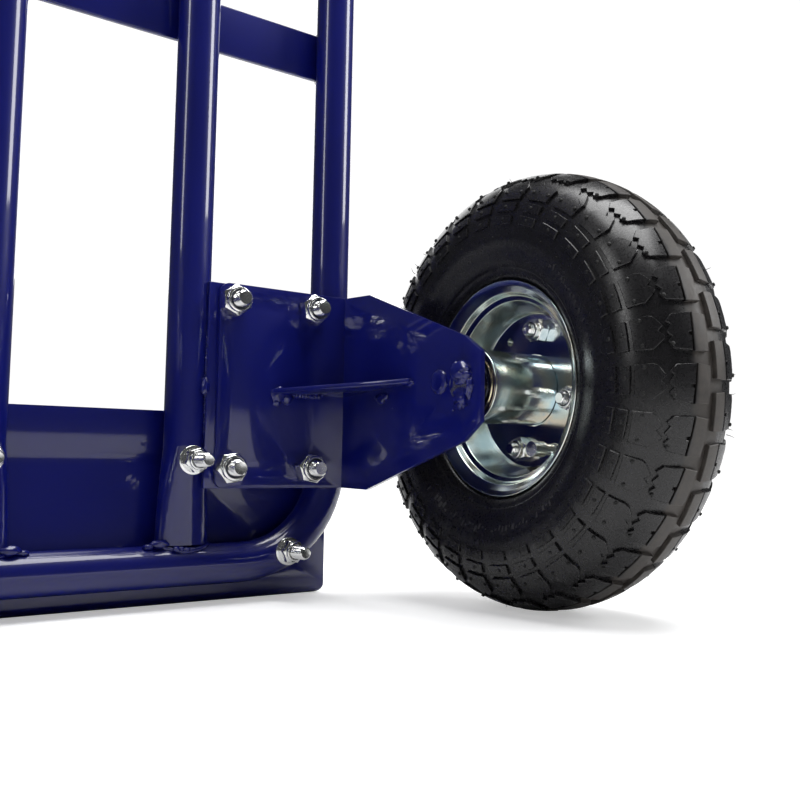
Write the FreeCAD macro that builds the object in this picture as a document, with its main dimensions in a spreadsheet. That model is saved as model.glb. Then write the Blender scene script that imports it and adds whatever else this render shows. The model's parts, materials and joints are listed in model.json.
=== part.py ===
import FreeCAD, Part
import math
import os
import Sketcher
from FreeCAD import Placement, Rotation, Vector

# Two-wheel hand truck. +Z is up, the load side and its toe plate face -Y, the wheels stand
# behind the frame at +Y. "right" is the side at -X: the right hand of a person who pushes.

DIMENSIONS = {
    # frame tubes
    "tube_radius": 12.5,
    "tube_wall": 1.8,
    "outer_span": 153.4,        # centre plane to the outer uprights' axes
    "inner_span": 56.0,         # centre plane to the inner uprights' axes
    "rail_height": 24.5,        # floor to the bottom rail's axis
    "rail_bend": 60.0,
    "loop_foot": 37.0,          # where the inner tube stands on the rail
    "loop_flare_top": 96.0,
    "loop_crown": 916.0,        # height where the inner tube's arch starts
    "flare_across": 16.0,
    "flare_deep": 8.8,
    "handle_bend_start": 980.0,
    "handle_bend": 90.0,
    "handle_turn": 80.0,        # degrees from upright to handle
    "handle_reach": 160.0,
    "strap_low": 352.0,
    "strap_pitch": 250.0,
    "strap_deep": 32.0,
    "strap_thick": 4.0,
    "strap_overhang": 8.0,
    "strap_corner": 9.0,
    # toe plate
    "toe_half_width": 161.5,
    "toe_thick": 4.0,
    "toe_height": 117.6,
    "toe_depth": 210.0,
    "toe_corner": 28.0,
    "toe_relief": 6.0,
    "toe_bend_inside": 4.0,
    "toe_bend_outside": 5.0,
    "toe_bolt_height": 87.5,
    "rail_bolt_span": 120.6,
    "rail_bolt_height": 30.8,
    # wheel brackets
    "sheet": 3.0,
    "bracket_back": 16.8,       # tube axis plane to the bracket's rear face
    "bracket_inner": 68.3,
    "bracket_leg": 155.9,       # centre plane to the rear leg's inner face
    "bracket_low": 70.6,
    "bracket_high": 196.0,
    "bracket_corner": 6.0,
    "plate_inner": 62.6,
    "plate_outer": 146.8,
    "bracket_bolt_inner": 76.2,
    "bracket_bolt_outer": 130.6,
    "bracket_bolt_low": 83.0,
    "bracket_bolt_high": 185.0,
    "gusset_inner": 104.0,
    "gusset_reach": 77.6,
    "gusset_low": 129.6,        # underside at the bracket's face, from where it rises rearward
    "gusset_turn": 3.7,
    "gusset_clear": 0.25,       # keeps its tilted edge off the bracket's face
    "rivet_forward": 20.6,
    "rivet_height": 133.8,
    "rivet_radius": 7.3,
    # fasteners
    "m10_radius": 5.0,
    "m10_flats": 15.0,
    "m10_nut_flats": 17.0,
    "m10_head": 6.4,
    "m10_nut": 8.0,
    "m10_collar": 3.4,
    "m10_collar_radius": 7.0,
    "m10_stand_out": 17.6,
    "m8_radius": 4.0,
    "m8_flats": 13.0,
    "m8_head": 5.3,
    "m8_nut": 6.5,
    "m8_collar": 2.4,
    "m8_collar_radius": 5.6,
    "m8_stand_out": 23.5,
    "m8_washer_radius": 8.8,
    "m8_washer": 1.6,
    # wheels
    "wheel_span": 216.5,
    "wheel_setback": 142.7,     # tube axis plane to the axle
    "tyre_radius": 131.0,
    "crown_half": 31.0,
    "crown_radius": 47.85,
    "crown_drop": 11.4,
    "sidewall_radius": 44.3,
    "lip_radius": 63.8,
    "lip_half": 32.6,
    "web_face": 5.5,
    "rim_sheet": 2.0,
    "well_radius": 47.0,
    "seat_radius": 53.0,
    "rim_bolt_circle": 36.0,
    "rim_bolt_turn": 11.0,
    "rim_bolt_stand_out": 12.5,
    "vent_turn": 56.0,
    "vent_circle": 37.5,
    "vent_radius": 2.6,
    "valve_turn": 236.0,        # midway between two rim bolts
    "valve_station": 11.0,
    "valve_reach": 43.5,        # axle to the stem's axis
    "valve_radius": 3.2,
    "valve_neck": 7.0,          # how far the neck goes into the tyre's air side
    "valve_elbow": 3.8,
    "valve_rod": 16.0,
    "valve_cap_start": 9.0,
    "valve_cap_end": 18.0,
    "valve_cap_radius": 4.4,
    "valve_slot": 6.2,
    "hub_radius": 21.3,
    "hub_bore": 19.0,
    "hub_inboard": 52.8,
    "hub_outboard": 26.0,
    "axle_radius": 8.0,
    "axle_outboard": 39.0,
    "axle_washer_radius": 15.0,
    "axle_washer": 2.5,
    "pin_radius": 1.6,
    "bearing_radius": 20.0,
    "bearing_width": 12.0,
    "ball_radius": 3.4,
    "ball_circle": 14.0,
    "running_gap": 0.05,
    "spacer_radius": 11.0,
    "spacer_gap": 0.2,
    # grips
    "grip_length": 118.0,
    "grip_radius": 16.4,
    "grip_guard": 23.0,
    # weld metal: half sizes of the lumps, and how far their middles sit past an edge
    "rail_weld_across": 20.0,
    "rail_weld_deep": 12.0,
    "rail_weld_high": 6.0,
    "plate_weld_across": 3.0,
    "plate_weld_deep": 2.8,
    "plate_weld_high": 9.0,
    "plate_weld_past": 0.5,
    "strap_weld_flats": 4.4,
    "strap_weld_length": 16.0,
    "strap_weld_sunk": 0.6,
    "tip_weld_across": 7.0,
    "tip_weld_deep": 3.4,
    "leg_weld_across": 3.0,
    "leg_weld_deep": 6.0,
    "gusset_weld_high": 4.0,
    "leg_weld_reach": 44.0,
    "end_weld_across": 2.4,
    "end_weld_deep": 5.0,
    "end_weld_high": 2.6,
    "axle_weld_radius": 8.8,
    "axle_weld_thick": 3.0,
}

doc = FreeCAD.newDocument("hand_truck")
dims = doc.addObject("Spreadsheet::Sheet", "dims")
for row, (alias, number) in enumerate(DIMENSIONS.items(), start=1):
    dims.set(f"A{row}", alias)
    dims.set(f"B{row}", str(number))
    dims.setAlias(f"B{row}", alias)
doc.recompute()

# The origin is the middle of the footprint, so the tubes' plane follows from the toe's depth
# in front of it and the tyres' reach behind it.
FRAME_Y = "((dims.toe_depth + dims.tube_radius - dims.wheel_setback - dims.tyre_radius) / 2)"
WHEEL_Y = f"({FRAME_Y} + dims.wheel_setback)"
FRONT_Y = f"({FRAME_Y} - dims.tube_radius)"
BRACKET_Y = f"({FRAME_Y} + dims.bracket_back)"
PLATE_Y = f"({BRACKET_Y} - 2 * dims.sheet)"
HANDLE_TIP_Y = (f"({FRAME_Y} + dims.handle_bend * (1 - cos(dims.handle_turn))"
                " + dims.handle_reach * sin(dims.handle_turn))")
HANDLE_TIP_Z = ("(dims.handle_bend_start + dims.handle_bend * sin(dims.handle_turn)"
                " + dims.handle_reach * cos(dims.handle_turn))")
M8_HOLE = "dims.m8_radius + 0.25"
OUTER_WEB = "(dims.web_face - 2 * dims.rim_sheet)"
SIDES = {"right": -1, "left": 1}
ON_Y = Rotation(Vector(1, 0, 0), -90)      # turns a part drawn along +Z to lie along +Y
ON_X = Rotation(Vector(0, 1, 0), 90)       # turns a part drawn along +Z to lie along +X

parts = []


def size(expression):
    """The number an expression over the sheet gives."""
    result = dims.evalExpression(expression)
    return float(getattr(result, "Value", result))


def bind(thing, **sizes):
    for name, expression in sizes.items():
        thing.setExpression(name, expression)
    return thing


def place(thing, x="0", y="0", z="0", rotation=None):
    if rotation is not None:
        thing.Placement = Placement(Vector(), rotation)
    for axis, expression in zip("xyz", (x, y, z)):
        thing.setExpression(f"Placement.Base.{axis}", expression)
    return thing


def keep(thing, label):
    """Name a finished sub-part; its label is its file's name."""
    thing.Label = label
    parts.append(thing)
    return thing


def new(kind, name, **sizes):
    return bind(doc.addObject(kind, name), **sizes)


def rod(name, radius, length, x="0", y="0", z="0", rotation=None):
    """A solid cylinder from a point along +Z, or along the turned direction."""
    return place(new("Part::Cylinder", name, Radius=radius, Height=length), x, y, z, rotation)


def ring(name, outer, inner, length, x="0", y="0", z="0", rotation=None):
    cut = doc.addObject("Part::Cut", name)
    cut.Base = rod(f"{name}_outside", outer, length, x, y, z, rotation)
    cut.Tool = rod(f"{name}_bore", inner, length, x, y, z, rotation)
    return cut


def prism(name, sides, flats, length, x, y, z, rotation):
    """A regular bar, measured across its flats, with one flat square to its own X axis."""
    bar = new("Part::Prism", name, Circumradius=f"{flats} / 2 / cos(180 / {sides})", Height=length)
    bar.Polygon = sides
    flat_on = Rotation(Vector(0, 0, 1), 180 / sides)
    return place(bar, x, y, z, rotation.multiply(flat_on))


def hexagon(name, flats, length, x, y, z, rotation):
    return prism(name, 6, flats, length, x, y, z, rotation)


def joined(name, members):
    whole = doc.addObject("Part::MultiFuse", name)
    whole.Shapes = members
    return whole


def group(label, members):
    """Several like pieces that stay separate solids in one node."""
    whole = doc.addObject("Part::Compound", label)
    whole.Links = members
    return keep(whole, label)


def cut_from(name, base, tool):
    rest = doc.addObject("Part::Cut", name)
    rest.Base = base
    rest.Tool = tool
    return rest


# --- sketches and bodies -------------------------------------------------------------------

def new_body(label):
    return keep(doc.addObject("PartDesign::Body", label), label)


def new_sketch(body, role, offset="0"):
    """A sketch on one of the body's own origin planes, moved along that plane's normal."""
    sketch = body.newObject("Sketcher::SketchObject", "sketch")
    plane = next(f for f in body.Origin.OriginFeatures if f.Role == role)
    sketch.AttachmentSupport = [(plane, "")]
    sketch.MapMode = "FlatFace"
    sketch.setExpression("AttachmentOffset.Base.z", offset)
    return sketch


def pin_point(sketch, edge, end, x, y):
    """Hold one end of an edge at a place given by two expressions."""
    for kind, expression, axis in (("DistanceX", x, -2), ("DistanceY", y, -1)):
        number = size(expression)
        if abs(number) < 1e-9:
            sketch.addConstraint(Sketcher.Constraint("PointOnObject", edge, end, axis))
        else:
            held = sketch.addConstraint(Sketcher.Constraint(kind, -1, 1, edge, end, number))
            sketch.setExpression(f"Constraints[{held}]", expression)


def chain(sketch, corners, closed=True):
    """Lines and arcs through corners (x, y) or (x, y, radius). A radius bends the edge that
    leaves the corner: positive bulges to the right of travel, negative to the left."""
    spots = [Vector(size(c[0]), size(c[1]), 0) for c in corners]
    ends = []
    count = len(corners) if closed else len(corners) - 1
    for i in range(count):
        a, b = spots[i], spots[(i + 1) % len(corners)]
        if len(corners[i]) == 2:
            ends.append((sketch.addGeometry(Part.LineSegment(a, b)), 1, 2))
            continue
        radius = size(corners[i][2])
        run = b - a
        rise = abs(radius) - (radius ** 2 - run.Length ** 2 / 4) ** 0.5
        right = Vector(run.y, -run.x, 0) / run.Length
        middle = (a + b) / 2 + right * (rise if radius > 0 else -rise)
        if radius > 0:
            edge = sketch.addGeometry(Part.Arc(a, middle, b))
            ends.append((edge, 1, 2))
        else:
            edge = sketch.addGeometry(Part.Arc(b, middle, a))
            ends.append((edge, 2, 1))
        held = sketch.addConstraint(Sketcher.Constraint("Radius", edge, abs(radius)))
        sketch.setExpression(f"Constraints[{held}]", f"abs({corners[i][2]})")
    for i, (edge, first, last) in enumerate(ends):
        pin_point(sketch, edge, first, corners[i][0], corners[i][1])
        if closed or i + 1 < count:
            after = ends[(i + 1) % count]
            sketch.addConstraint(Sketcher.Constraint("Coincident", edge, last, after[0], after[1]))
    if not closed:
        pin_point(sketch, ends[-1][0], ends[-1][2], corners[-1][0], corners[-1][1])
    return sketch


def circle(sketch, x, y, radius):
    spot = Vector(size(x), size(y), 0)
    edge = sketch.addGeometry(Part.Circle(spot, Vector(0, 0, 1), size(radius)))
    pin_point(sketch, edge, 3, x, y)
    held = sketch.addConstraint(Sketcher.Constraint("Radius", edge, size(radius)))
    sketch.setExpression(f"Constraints[{held}]", radius)


def tube_section(sketch, x, y):
    circle(sketch, x, y, "dims.tube_radius")
    circle(sketch, x, y, "dims.tube_radius - dims.tube_wall")
    return sketch


def pipe(body, section, path):
    doc.recompute()
    feature = body.newObject("PartDesign::AdditivePipe", "pipe")
    feature.Profile = section
    feature.Spine = path
    return feature


def pad(body, sketch, length, reverse=False, both=False):
    feature = body.newObject("PartDesign::Pad", "pad")
    feature.Profile = sketch
    feature.Reversed = reverse
    feature.Midplane = both
    feature.setExpression("Length", length)
    return feature


def pocket(body, sketch, length, both=False, reverse=False):
    """Cut a sketch out, to one side of it or half the length to each side."""
    doc.recompute()
    before = body.Shape.Volume
    feature = body.newObject("PartDesign::Pocket", "pocket")
    feature.Profile = sketch
    feature.Midplane = both
    feature.Reversed = reverse
    feature.setExpression("Length", length)
    doc.recompute()
    if not body.Shape.Volume < before:
        raise RuntimeError(f"{body.Label}: a pocket removed nothing")
    return feature


def turned(label, outline, inner=None, plane="XZ_Plane"):
    """A body of revolution. Its outline is (along the axis, radius); the axis is the sketch's X."""
    body = new_body(label)
    sketch = new_sketch(body, plane)
    chain(sketch, outline)
    if inner:
        chain(sketch, inner)
    feature = body.newObject("PartDesign::Revolution", "revolution")
    feature.Profile = sketch
    feature.ReferenceAxis = (sketch, ["H_Axis"])
    return body


def rounded(body, radius, chosen):
    """Fillet the body's straight edges that a test on their ends picks."""
    doc.recompute()
    base = body.Tip
    names = []
    for number, edge in enumerate(base.Shape.Edges, start=1):
        if len(edge.Vertexes) == 2 and chosen(edge.Vertexes[0].Point, edge.Vertexes[1].Point):
            names.append(f"Edge{number}")
    if not names:
        raise RuntimeError(f"{body.Label}: no edge to round")
    fillet = body.newObject("PartDesign::Fillet", "fillet")
    fillet.Base = (base, names)
    fillet.setExpression("Radius", radius)
    return fillet


# --- frame ---------------------------------------------------------------------------------

def outer_frame_tube():
    """One tube: handle, upright, bottom rail, upright, handle."""
    body = new_body("outer_frame_tube")
    rail = "dims.rail_height"
    bend = "dims.rail_height + dims.rail_bend"
    top = "dims.handle_bend_start"
    path = new_sketch(body, "XZ_Plane", f"-{FRAME_Y}")
    chain(path, [
        ("-dims.outer_span", top),
        ("-dims.outer_span", bend, "dims.rail_bend"),
        ("-dims.outer_span + dims.rail_bend", rail),
        ("dims.outer_span - dims.rail_bend", rail, "dims.rail_bend"),
        ("dims.outer_span", bend),
        ("dims.outer_span", top),
    ], closed=False)
    section = tube_section(new_sketch(body, "XY_Plane", top), "-dims.outer_span", FRAME_Y)
    pipe(body, section, path)
    elbow_y = f"{FRAME_Y} + dims.handle_bend * (1 - cos(dims.handle_turn))"
    elbow_z = f"{top} + dims.handle_bend * sin(dims.handle_turn)"
    for sign in SIDES.values():
        path = new_sketch(body, "YZ_Plane", f"{sign} * dims.outer_span")
        chain(path, [
            (FRAME_Y, top, "-dims.handle_bend"),
            (elbow_y, elbow_z),
            (HANDLE_TIP_Y, HANDLE_TIP_Z),
        ], closed=False)
        section = tube_section(new_sketch(body, "XY_Plane", top), f"{sign} * dims.outer_span", FRAME_Y)
        pipe(body, section, path)
    holes = new_sketch(body, "XZ_Plane", f"-{FRAME_Y}")
    for sign in SIDES.values():
        circle(holes, f"{sign} * dims.rail_bolt_span", "dims.rail_bolt_height", M8_HOLE)
    pocket(body, holes, "4 * dims.tube_radius", both=True)


def inner_loop_tube():
    """The middle pair of uprights, one tube arched at the top, flattened where it meets the rail."""
    body = new_body("inner_loop_tube")
    path = new_sketch(body, "XZ_Plane", f"-{FRAME_Y}")
    chain(path, [
        ("-dims.inner_span", "dims.loop_flare_top"),
        ("-dims.inner_span", "dims.loop_crown", "-dims.inner_span"),
        ("0", "dims.loop_crown + dims.inner_span", "-dims.inner_span"),
        ("dims.inner_span", "dims.loop_crown"),
        ("dims.inner_span", "dims.loop_flare_top"),
    ], closed=False)
    section = tube_section(new_sketch(body, "XY_Plane", "dims.loop_flare_top"), "-dims.inner_span", FRAME_Y)
    pipe(body, section, path)
    for sign in SIDES.values():
        across = f"{sign} * dims.inner_span"
        for kind, less in (("PartDesign::AdditiveLoft", "0"), ("PartDesign::SubtractiveLoft", "dims.tube_wall")):
            sections = []
            for height, wide, deep in (
                    ("dims.loop_foot", "dims.flare_across", "dims.flare_deep"),
                    ("dims.loop_foot + 16", "dims.flare_across - 0.3", "dims.flare_deep + 0.4")):
                sketch = new_sketch(body, "XY_Plane", height)
                oval(sketch, across, FRAME_Y, f"{wide} - {less}", f"{deep} - {less}")
                sections.append(sketch)
            sections.append(new_sketch(body, "XY_Plane", "dims.loop_flare_top"))
            circle(sections[-1], across, FRAME_Y, f"dims.tube_radius - {less}")
            doc.recompute()
            loft = body.newObject(kind, "flare")
            loft.Profile = sections[0]
            loft.Sections = sections[1:]
            doc.recompute()
    holes = new_sketch(body, "XZ_Plane", f"-{FRAME_Y}")
    for sign in SIDES.values():
        circle(holes, f"{sign} * dims.inner_span", "dims.toe_bolt_height", M8_HOLE)
    pocket(body, holes, "4 * dims.tube_radius", both=True)


def oval(sketch, x, y, half_x, half_y):
    centre = Vector(size(x), size(y), 0)
    long_end = centre + Vector(size(half_x), 0, 0)
    side_end = centre + Vector(0, size(half_y), 0)
    edge = sketch.addGeometry(Part.Ellipse(long_end, side_end, centre))
    pin_point(sketch, edge, 3, x, y)


def cross_straps():
    for level, name in enumerate(("lower", "middle", "upper")):
        body = new_body(f"cross_strap_{name}")
        sketch = new_sketch(body, "XZ_Plane", f"-{FRONT_Y}")
        half = "(dims.outer_span + dims.strap_overhang)"
        low = f"dims.strap_low + {level} * dims.strap_pitch"
        chain(sketch, [
            (f"-{half}", low), (half, low),
            (half, f"{low} + dims.strap_deep"), (f"-{half}", f"{low} + dims.strap_deep"),
        ])
        pad(body, sketch, "dims.strap_thick")
        rounded(body, "dims.strap_corner", lambda a, b: abs(a.y - b.y) > 1)


def toe_plate():
    """Bent sheet: a flange against the tubes' load side and a shelf along the floor."""
    body = new_body("toe_plate")
    back, front = FRONT_Y, f"{FRONT_Y} - dims.toe_depth"
    sketch = new_sketch(body, "YZ_Plane")
    chain(sketch, [
        (back, "0"), (back, "dims.toe_height"),
        (f"{back} - dims.toe_thick", "dims.toe_height"),
        (f"{back} - dims.toe_thick", "dims.toe_thick"),
        (front, "dims.toe_thick"), (front, "0"),
    ])
    pad(body, sketch, "2 * dims.toe_half_width", both=True)
    level, face = size("dims.toe_thick"), size(f"{back} - dims.toe_thick")
    rounded(body, "dims.toe_bend_inside", lambda a, b: abs(a.z - level) < 0.01 and abs(b.z - level) < 0.01
            and abs(a.y - face) < 0.01 and abs(b.y - face) < 0.01)
    heel = size(back)
    rounded(body, "dims.toe_bend_outside", lambda a, b: abs(a.z) + abs(b.z) < 0.01
            and abs(a.y - heel) < 0.01 and abs(b.y - heel) < 0.01)
    tip = size(front)
    rounded(body, "dims.toe_corner", lambda a, b: abs(a.z - b.z) > 1
            and abs(a.y - tip) < 0.01 and abs(b.y - tip) < 0.01)
    relief = new_sketch(body, "XZ_Plane", f"-({back})")
    for sign in SIDES.values():
        edge = f"{sign} * (dims.toe_half_width + 1)"
        start = f"{sign} * (dims.toe_half_width - dims.toe_relief)"
        chain(relief, [
            (f"{sign} * dims.toe_half_width", "dims.toe_relief", f"{sign} * -dims.toe_relief"),
            (start, "0"), (start, "-1"), (edge, "-1"), (edge, "dims.toe_relief"),
        ])
    pocket(body, relief, "2 * dims.toe_bend_outside", reverse=True)
    holes = new_sketch(body, "XZ_Plane", f"-({back} - dims.toe_thick / 2)")
    for sign in SIDES.values():
        circle(holes, f"{sign} * dims.inner_span", "dims.toe_bolt_height", M8_HOLE)
        circle(holes, f"{sign} * dims.rail_bolt_span", "dims.rail_bolt_height", M8_HOLE)
    pocket(body, holes, "2 * dims.toe_thick", both=True)


def bracket_holes(body, sign, y):
    holes = new_sketch(body, "XZ_Plane", f"-({y} + dims.sheet / 2)")
    for across in ("dims.bracket_bolt_inner", "dims.bracket_bolt_outer"):
        for height in ("dims.bracket_bolt_low", "dims.bracket_bolt_high"):
            circle(holes, f"{sign} * {across}", height, "dims.m10_radius + 0.3")
    pocket(body, holes, "2 * dims.sheet", both=True)


def mounting_plate(side, sign):
    """Plate welded between an inner and an outer upright, notched round the toe bolt's washer."""
    body = new_body(f"mounting_plate_{side}")
    sketch = new_sketch(body, "XZ_Plane", f"-{PLATE_Y}")
    near, far = f"{sign} * dims.plate_inner", f"{sign} * dims.plate_outer"
    chain(sketch, [(near, "dims.bracket_low"), (far, "dims.bracket_low"),
                   (far, "dims.bracket_high"), (near, "dims.bracket_high")])
    pad(body, sketch, "dims.sheet", reverse=True)
    bracket_holes(body, sign, PLATE_Y)
    notch = new_sketch(body, "XZ_Plane", f"-({PLATE_Y} + dims.sheet / 2)")
    circle(notch, f"{sign} * dims.inner_span", "dims.toe_bolt_height", "dims.m8_washer_radius + 0.5")
    pocket(body, notch, "2 * dims.sheet", both=True)


def wheel_bracket(side, sign):
    """Bent sheet: a leg bolted on the mounting plate and a tapered leg that holds the axle."""
    body = new_body(f"wheel_bracket_{side}")
    front = f"({BRACKET_Y} - dims.sheet)"
    leg = new_sketch(body, "XZ_Plane", f"-{front}")
    near, far = f"{sign} * dims.bracket_inner", f"{sign} * (dims.bracket_leg + dims.sheet)"
    chain(leg, [(near, "dims.bracket_low"), (far, "dims.bracket_low"),
                (far, "dims.bracket_high"), (near, "dims.bracket_high")])
    pad(body, leg, "dims.sheet", reverse=True)
    corner = size(near)
    rounded(body, "dims.bracket_corner", lambda a, b: abs(a.y - b.y) > 1 and abs(a.x - corner) < 0.01)
    rear = new_sketch(body, "YZ_Plane", f"{sign} * dims.bracket_leg")
    chain(rear, [
        (front, "dims.bracket_low"),
        (f"{WHEEL_Y} - 96.4", "dims.bracket_low - 0.9"),
        (f"{WHEEL_Y} + 2", "dims.tyre_radius - 32"),
        (f"{WHEEL_Y} + 17", "dims.tyre_radius - 21.2"),
        (f"{WHEEL_Y} + 17", "dims.tyre_radius + 18.4"),
        (f"{WHEEL_Y} + 2", "dims.tyre_radius + 28"),
        (f"{WHEEL_Y} - 96.4", "dims.bracket_high - 1.3"),
        (front, "dims.bracket_high"),
    ])
    pad(body, rear, "dims.sheet", reverse=sign < 0)
    outer, edge_y = size(far), size(front)
    rounded(body, "dims.sheet - 0.2", lambda a, b: abs(a.x - outer) < 0.01 and abs(b.x - outer) < 0.01
            and abs(a.y - edge_y) < 0.01 and abs(b.y - edge_y) < 0.01)
    bracket_holes(body, sign, front)
    bore = new_sketch(body, "YZ_Plane", f"{sign} * (dims.bracket_leg + dims.sheet / 2)")
    circle(bore, WHEEL_Y, "dims.tyre_radius", "dims.axle_radius + 0.1")
    pocket(body, bore, "2 * dims.sheet", both=True)


def bracket_gusset(side, sign):
    """Triangular web across the inside of the bracket's bend."""
    body = new_body(f"bracket_gusset_{side}")
    sketch = new_sketch(body, "XY_Plane", "0")
    corner = f"{sign} * dims.bracket_leg"
    tip = f"{sign} * dims.gusset_inner"
    chain(sketch, [
        (corner, "dims.gusset_clear"), (tip, "dims.gusset_clear"), (tip, "dims.sheet"),
        (f"{corner} - {sign} * 3", "dims.gusset_reach"), (corner, "dims.gusset_reach"),
    ])
    pad(body, sketch, "dims.sheet")
    place(body, "0", BRACKET_Y, "dims.gusset_low", Rotation(Vector(1, 0, 0), size("dims.gusset_turn")))
    body.setExpression("Placement.Rotation.Angle", "dims.gusset_turn")


def handle_grip(side, sign):
    """Rubber sleeve with a closed end and a guard; its axis is the handle's."""
    start, end, bore = "-dims.grip_length", "3", "dims.tube_radius + 0.05"
    body = turned(f"handle_grip_{side}", [
        ("0", "0"), (end, "0"), (end, "dims.grip_radius - 5", "5"),
        ("-2", "dims.grip_radius"), (f"{start} + 8", "dims.grip_radius"),
        (f"{start} + 5", "dims.grip_guard"), (start, "dims.grip_guard"),
        (start, bore), ("0", bore),
    ], plane="YZ_Plane")
    slope = Rotation(Vector(1, 0, 0), 90 - size("dims.handle_turn"))
    place(body, f"{sign} * dims.outer_span", HANDLE_TIP_Y, HANDLE_TIP_Z, slope)
    body.setExpression("Placement.Rotation.Angle", "90 - dims.handle_turn")


# --- fasteners -----------------------------------------------------------------------------

def hex_bolt(name, x, z, head_y, end_y, radius, flats, head):
    """A bolt along +Y: its head's bearing face is at head_y, its shank ends at end_y."""
    shank = rod(f"{name}_shank", radius, f"{end_y} - ({head_y})", x, head_y, z, ON_Y)
    cap = hexagon(f"{name}_head", flats, head, x, f"{head_y} - {head}", z, ON_Y)
    return joined(name, [shank, cap])


def lock_nut(name, x, y, z, radius, flats, height, collar, collar_radius, turn):
    """A hexagon with a round collar that holds the locking ring; its axis is X or Y."""
    crown_x, crown_y = (f"{x} + {height}", y) if turn is ON_X else (x, f"{y} + {height}")
    nut = hexagon(f"{name}_hex", flats, height, x, y, z, turn)
    crown = rod(f"{name}_collar", collar_radius, collar, crown_x, crown_y, z, turn)
    bore = rod(f"{name}_bore", f"{radius} + 0.02", f"{height} + {collar}", x, y, z, turn)
    return cut_from(name, joined(f"{name}_solid", [nut, crown]), bore)


def bracket_fasteners():
    bolts, nuts = [], []
    for side, sign in SIDES.items():
        for across in ("dims.bracket_bolt_inner", "dims.bracket_bolt_outer"):
            for height in ("dims.bracket_bolt_low", "dims.bracket_bolt_high"):
                name = f"m10_{side}_{len(bolts)}"
                x = f"{sign} * {across}"
                bolts.append(hex_bolt(name, x, height, PLATE_Y, f"{BRACKET_Y} + dims.m10_stand_out",
                                      "dims.m10_radius", "dims.m10_flats", "dims.m10_head"))
                nuts.append(lock_nut(f"{name}_nut", x, BRACKET_Y, height, "dims.m10_radius",
                                     "dims.m10_nut_flats", "dims.m10_nut", "dims.m10_collar",
                                     "dims.m10_collar_radius", ON_Y))
    group("bracket_bolts", bolts)
    group("bracket_nuts", nuts)


def toe_fasteners():
    bolts, washers, nuts = [], [], []
    rear = f"({FRAME_Y} + dims.tube_radius)"
    front = f"({FRONT_Y} - dims.toe_thick)"
    for sign in SIDES.values():
        for across, height in (("dims.inner_span", "dims.toe_bolt_height"),
                               ("dims.rail_bolt_span", "dims.rail_bolt_height")):
            name = f"m8_{len(bolts)}"
            x = f"{sign} * {across}"
            nut_y = f"({rear} + dims.m8_washer)"
            bolts.append(hex_bolt(name, x, height, front, f"{nut_y} + dims.m8_stand_out",
                                  "dims.m8_radius", "dims.m8_flats", "dims.m8_head"))
            washers.append(ring(f"{name}_washer", "dims.m8_washer_radius", "dims.m8_radius + 0.02",
                                "dims.m8_washer", x, rear, height, ON_Y))
            blank = hexagon(f"{name}_hex", "dims.m8_flats", "dims.m8_nut", x, nut_y, height, ON_Y)
            bore = rod(f"{name}_bore", "dims.m8_radius + 0.02", "dims.m8_nut", x, nut_y, height, ON_Y)
            nuts.append(cut_from(f"{name}_nut", blank, bore))
    group("toe_bolts", bolts)
    group("toe_washers", washers)
    group("toe_nuts", nuts)


# --- axles ---------------------------------------------------------------------------------

def stub_axle(side, sign):
    """A plain bar through the bracket's rear leg, cross-drilled for its split pin."""
    inner = "(dims.bracket_leg - 2.5)"
    length = f"(dims.wheel_span + dims.axle_outboard - {inner})"
    start = inner if sign > 0 else f"{inner} + {length}"
    bar = rod(f"axle_bar_{side}", "dims.axle_radius", length, f"{sign} * ({start})", WHEEL_Y,
              "dims.tyre_radius", ON_X)
    hole = rod(f"axle_pin_hole_{side}", "dims.pin_radius + 0.1", "2.5 * dims.axle_radius",
               f"{sign} * {pin_station()}", WHEEL_Y, "dims.tyre_radius - 1.25 * dims.axle_radius")
    keep(cut_from(f"stub_axle_{side}", bar, hole), f"stub_axle_{side}")


def pin_station():
    return "(dims.wheel_span + dims.hub_outboard + dims.axle_washer + 2.4 + dims.pin_radius)"


def axle_hardware():
    """Collars inboard and washers and split pins outboard of each wheel, bearing rings on the bars."""
    spacers, washers, pins, rings = [], [], [], []
    for side, sign in SIDES.items():
        inboard = "(dims.wheel_span - dims.hub_inboard)"
        outboard = "(dims.wheel_span + dims.hub_outboard)"
        spacer_start = "(dims.bracket_leg + dims.sheet)"
        spacer_length = f"({inboard} - {spacer_start} - dims.spacer_gap / 2)"
        bore = "dims.axle_radius + 0.02"

        def on_axle(name, outer, start, length):
            low = start if sign > 0 else f"({start} + {length})"
            return ring(f"{name}_{side}", outer, bore, length, f"{sign} * {low}", WHEEL_Y,
                        "dims.tyre_radius", ON_X)

        spacers.append(on_axle("spacer", "dims.spacer_radius", spacer_start, spacer_length))
        washers.append(on_axle("axle_washer", "dims.axle_washer_radius", f"({outboard} + 0.6)",
                               "dims.axle_washer"))
        stalk = rod(f"pin_stalk_{side}", "dims.pin_radius", "3.1 * dims.axle_radius",
                    f"{sign} * {pin_station()}", WHEEL_Y, "dims.tyre_radius - 1.75 * dims.axle_radius")
        eye = new("Part::Torus", f"pin_eye_{side}", Radius1="2.6", Radius2="1.2")
        place(eye, f"{sign} * {pin_station()}", WHEEL_Y,
              "dims.tyre_radius + 1.35 * dims.axle_radius + 2.6", ON_X)
        pins.append(joined(f"split_pin_{side}", [stalk, eye]))
        for start in (f"({inboard} + dims.spacer_gap / 2)",
                      f"({outboard} - dims.bearing_width - dims.spacer_gap / 2)"):
            rings.append(inner_ring(f"inner_ring_{len(rings)}", sign, start))
    group("axle_spacers", spacers)
    group("axle_washers", washers)
    group("split_pins", pins)
    group("bearing_inner_rings", rings)


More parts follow.
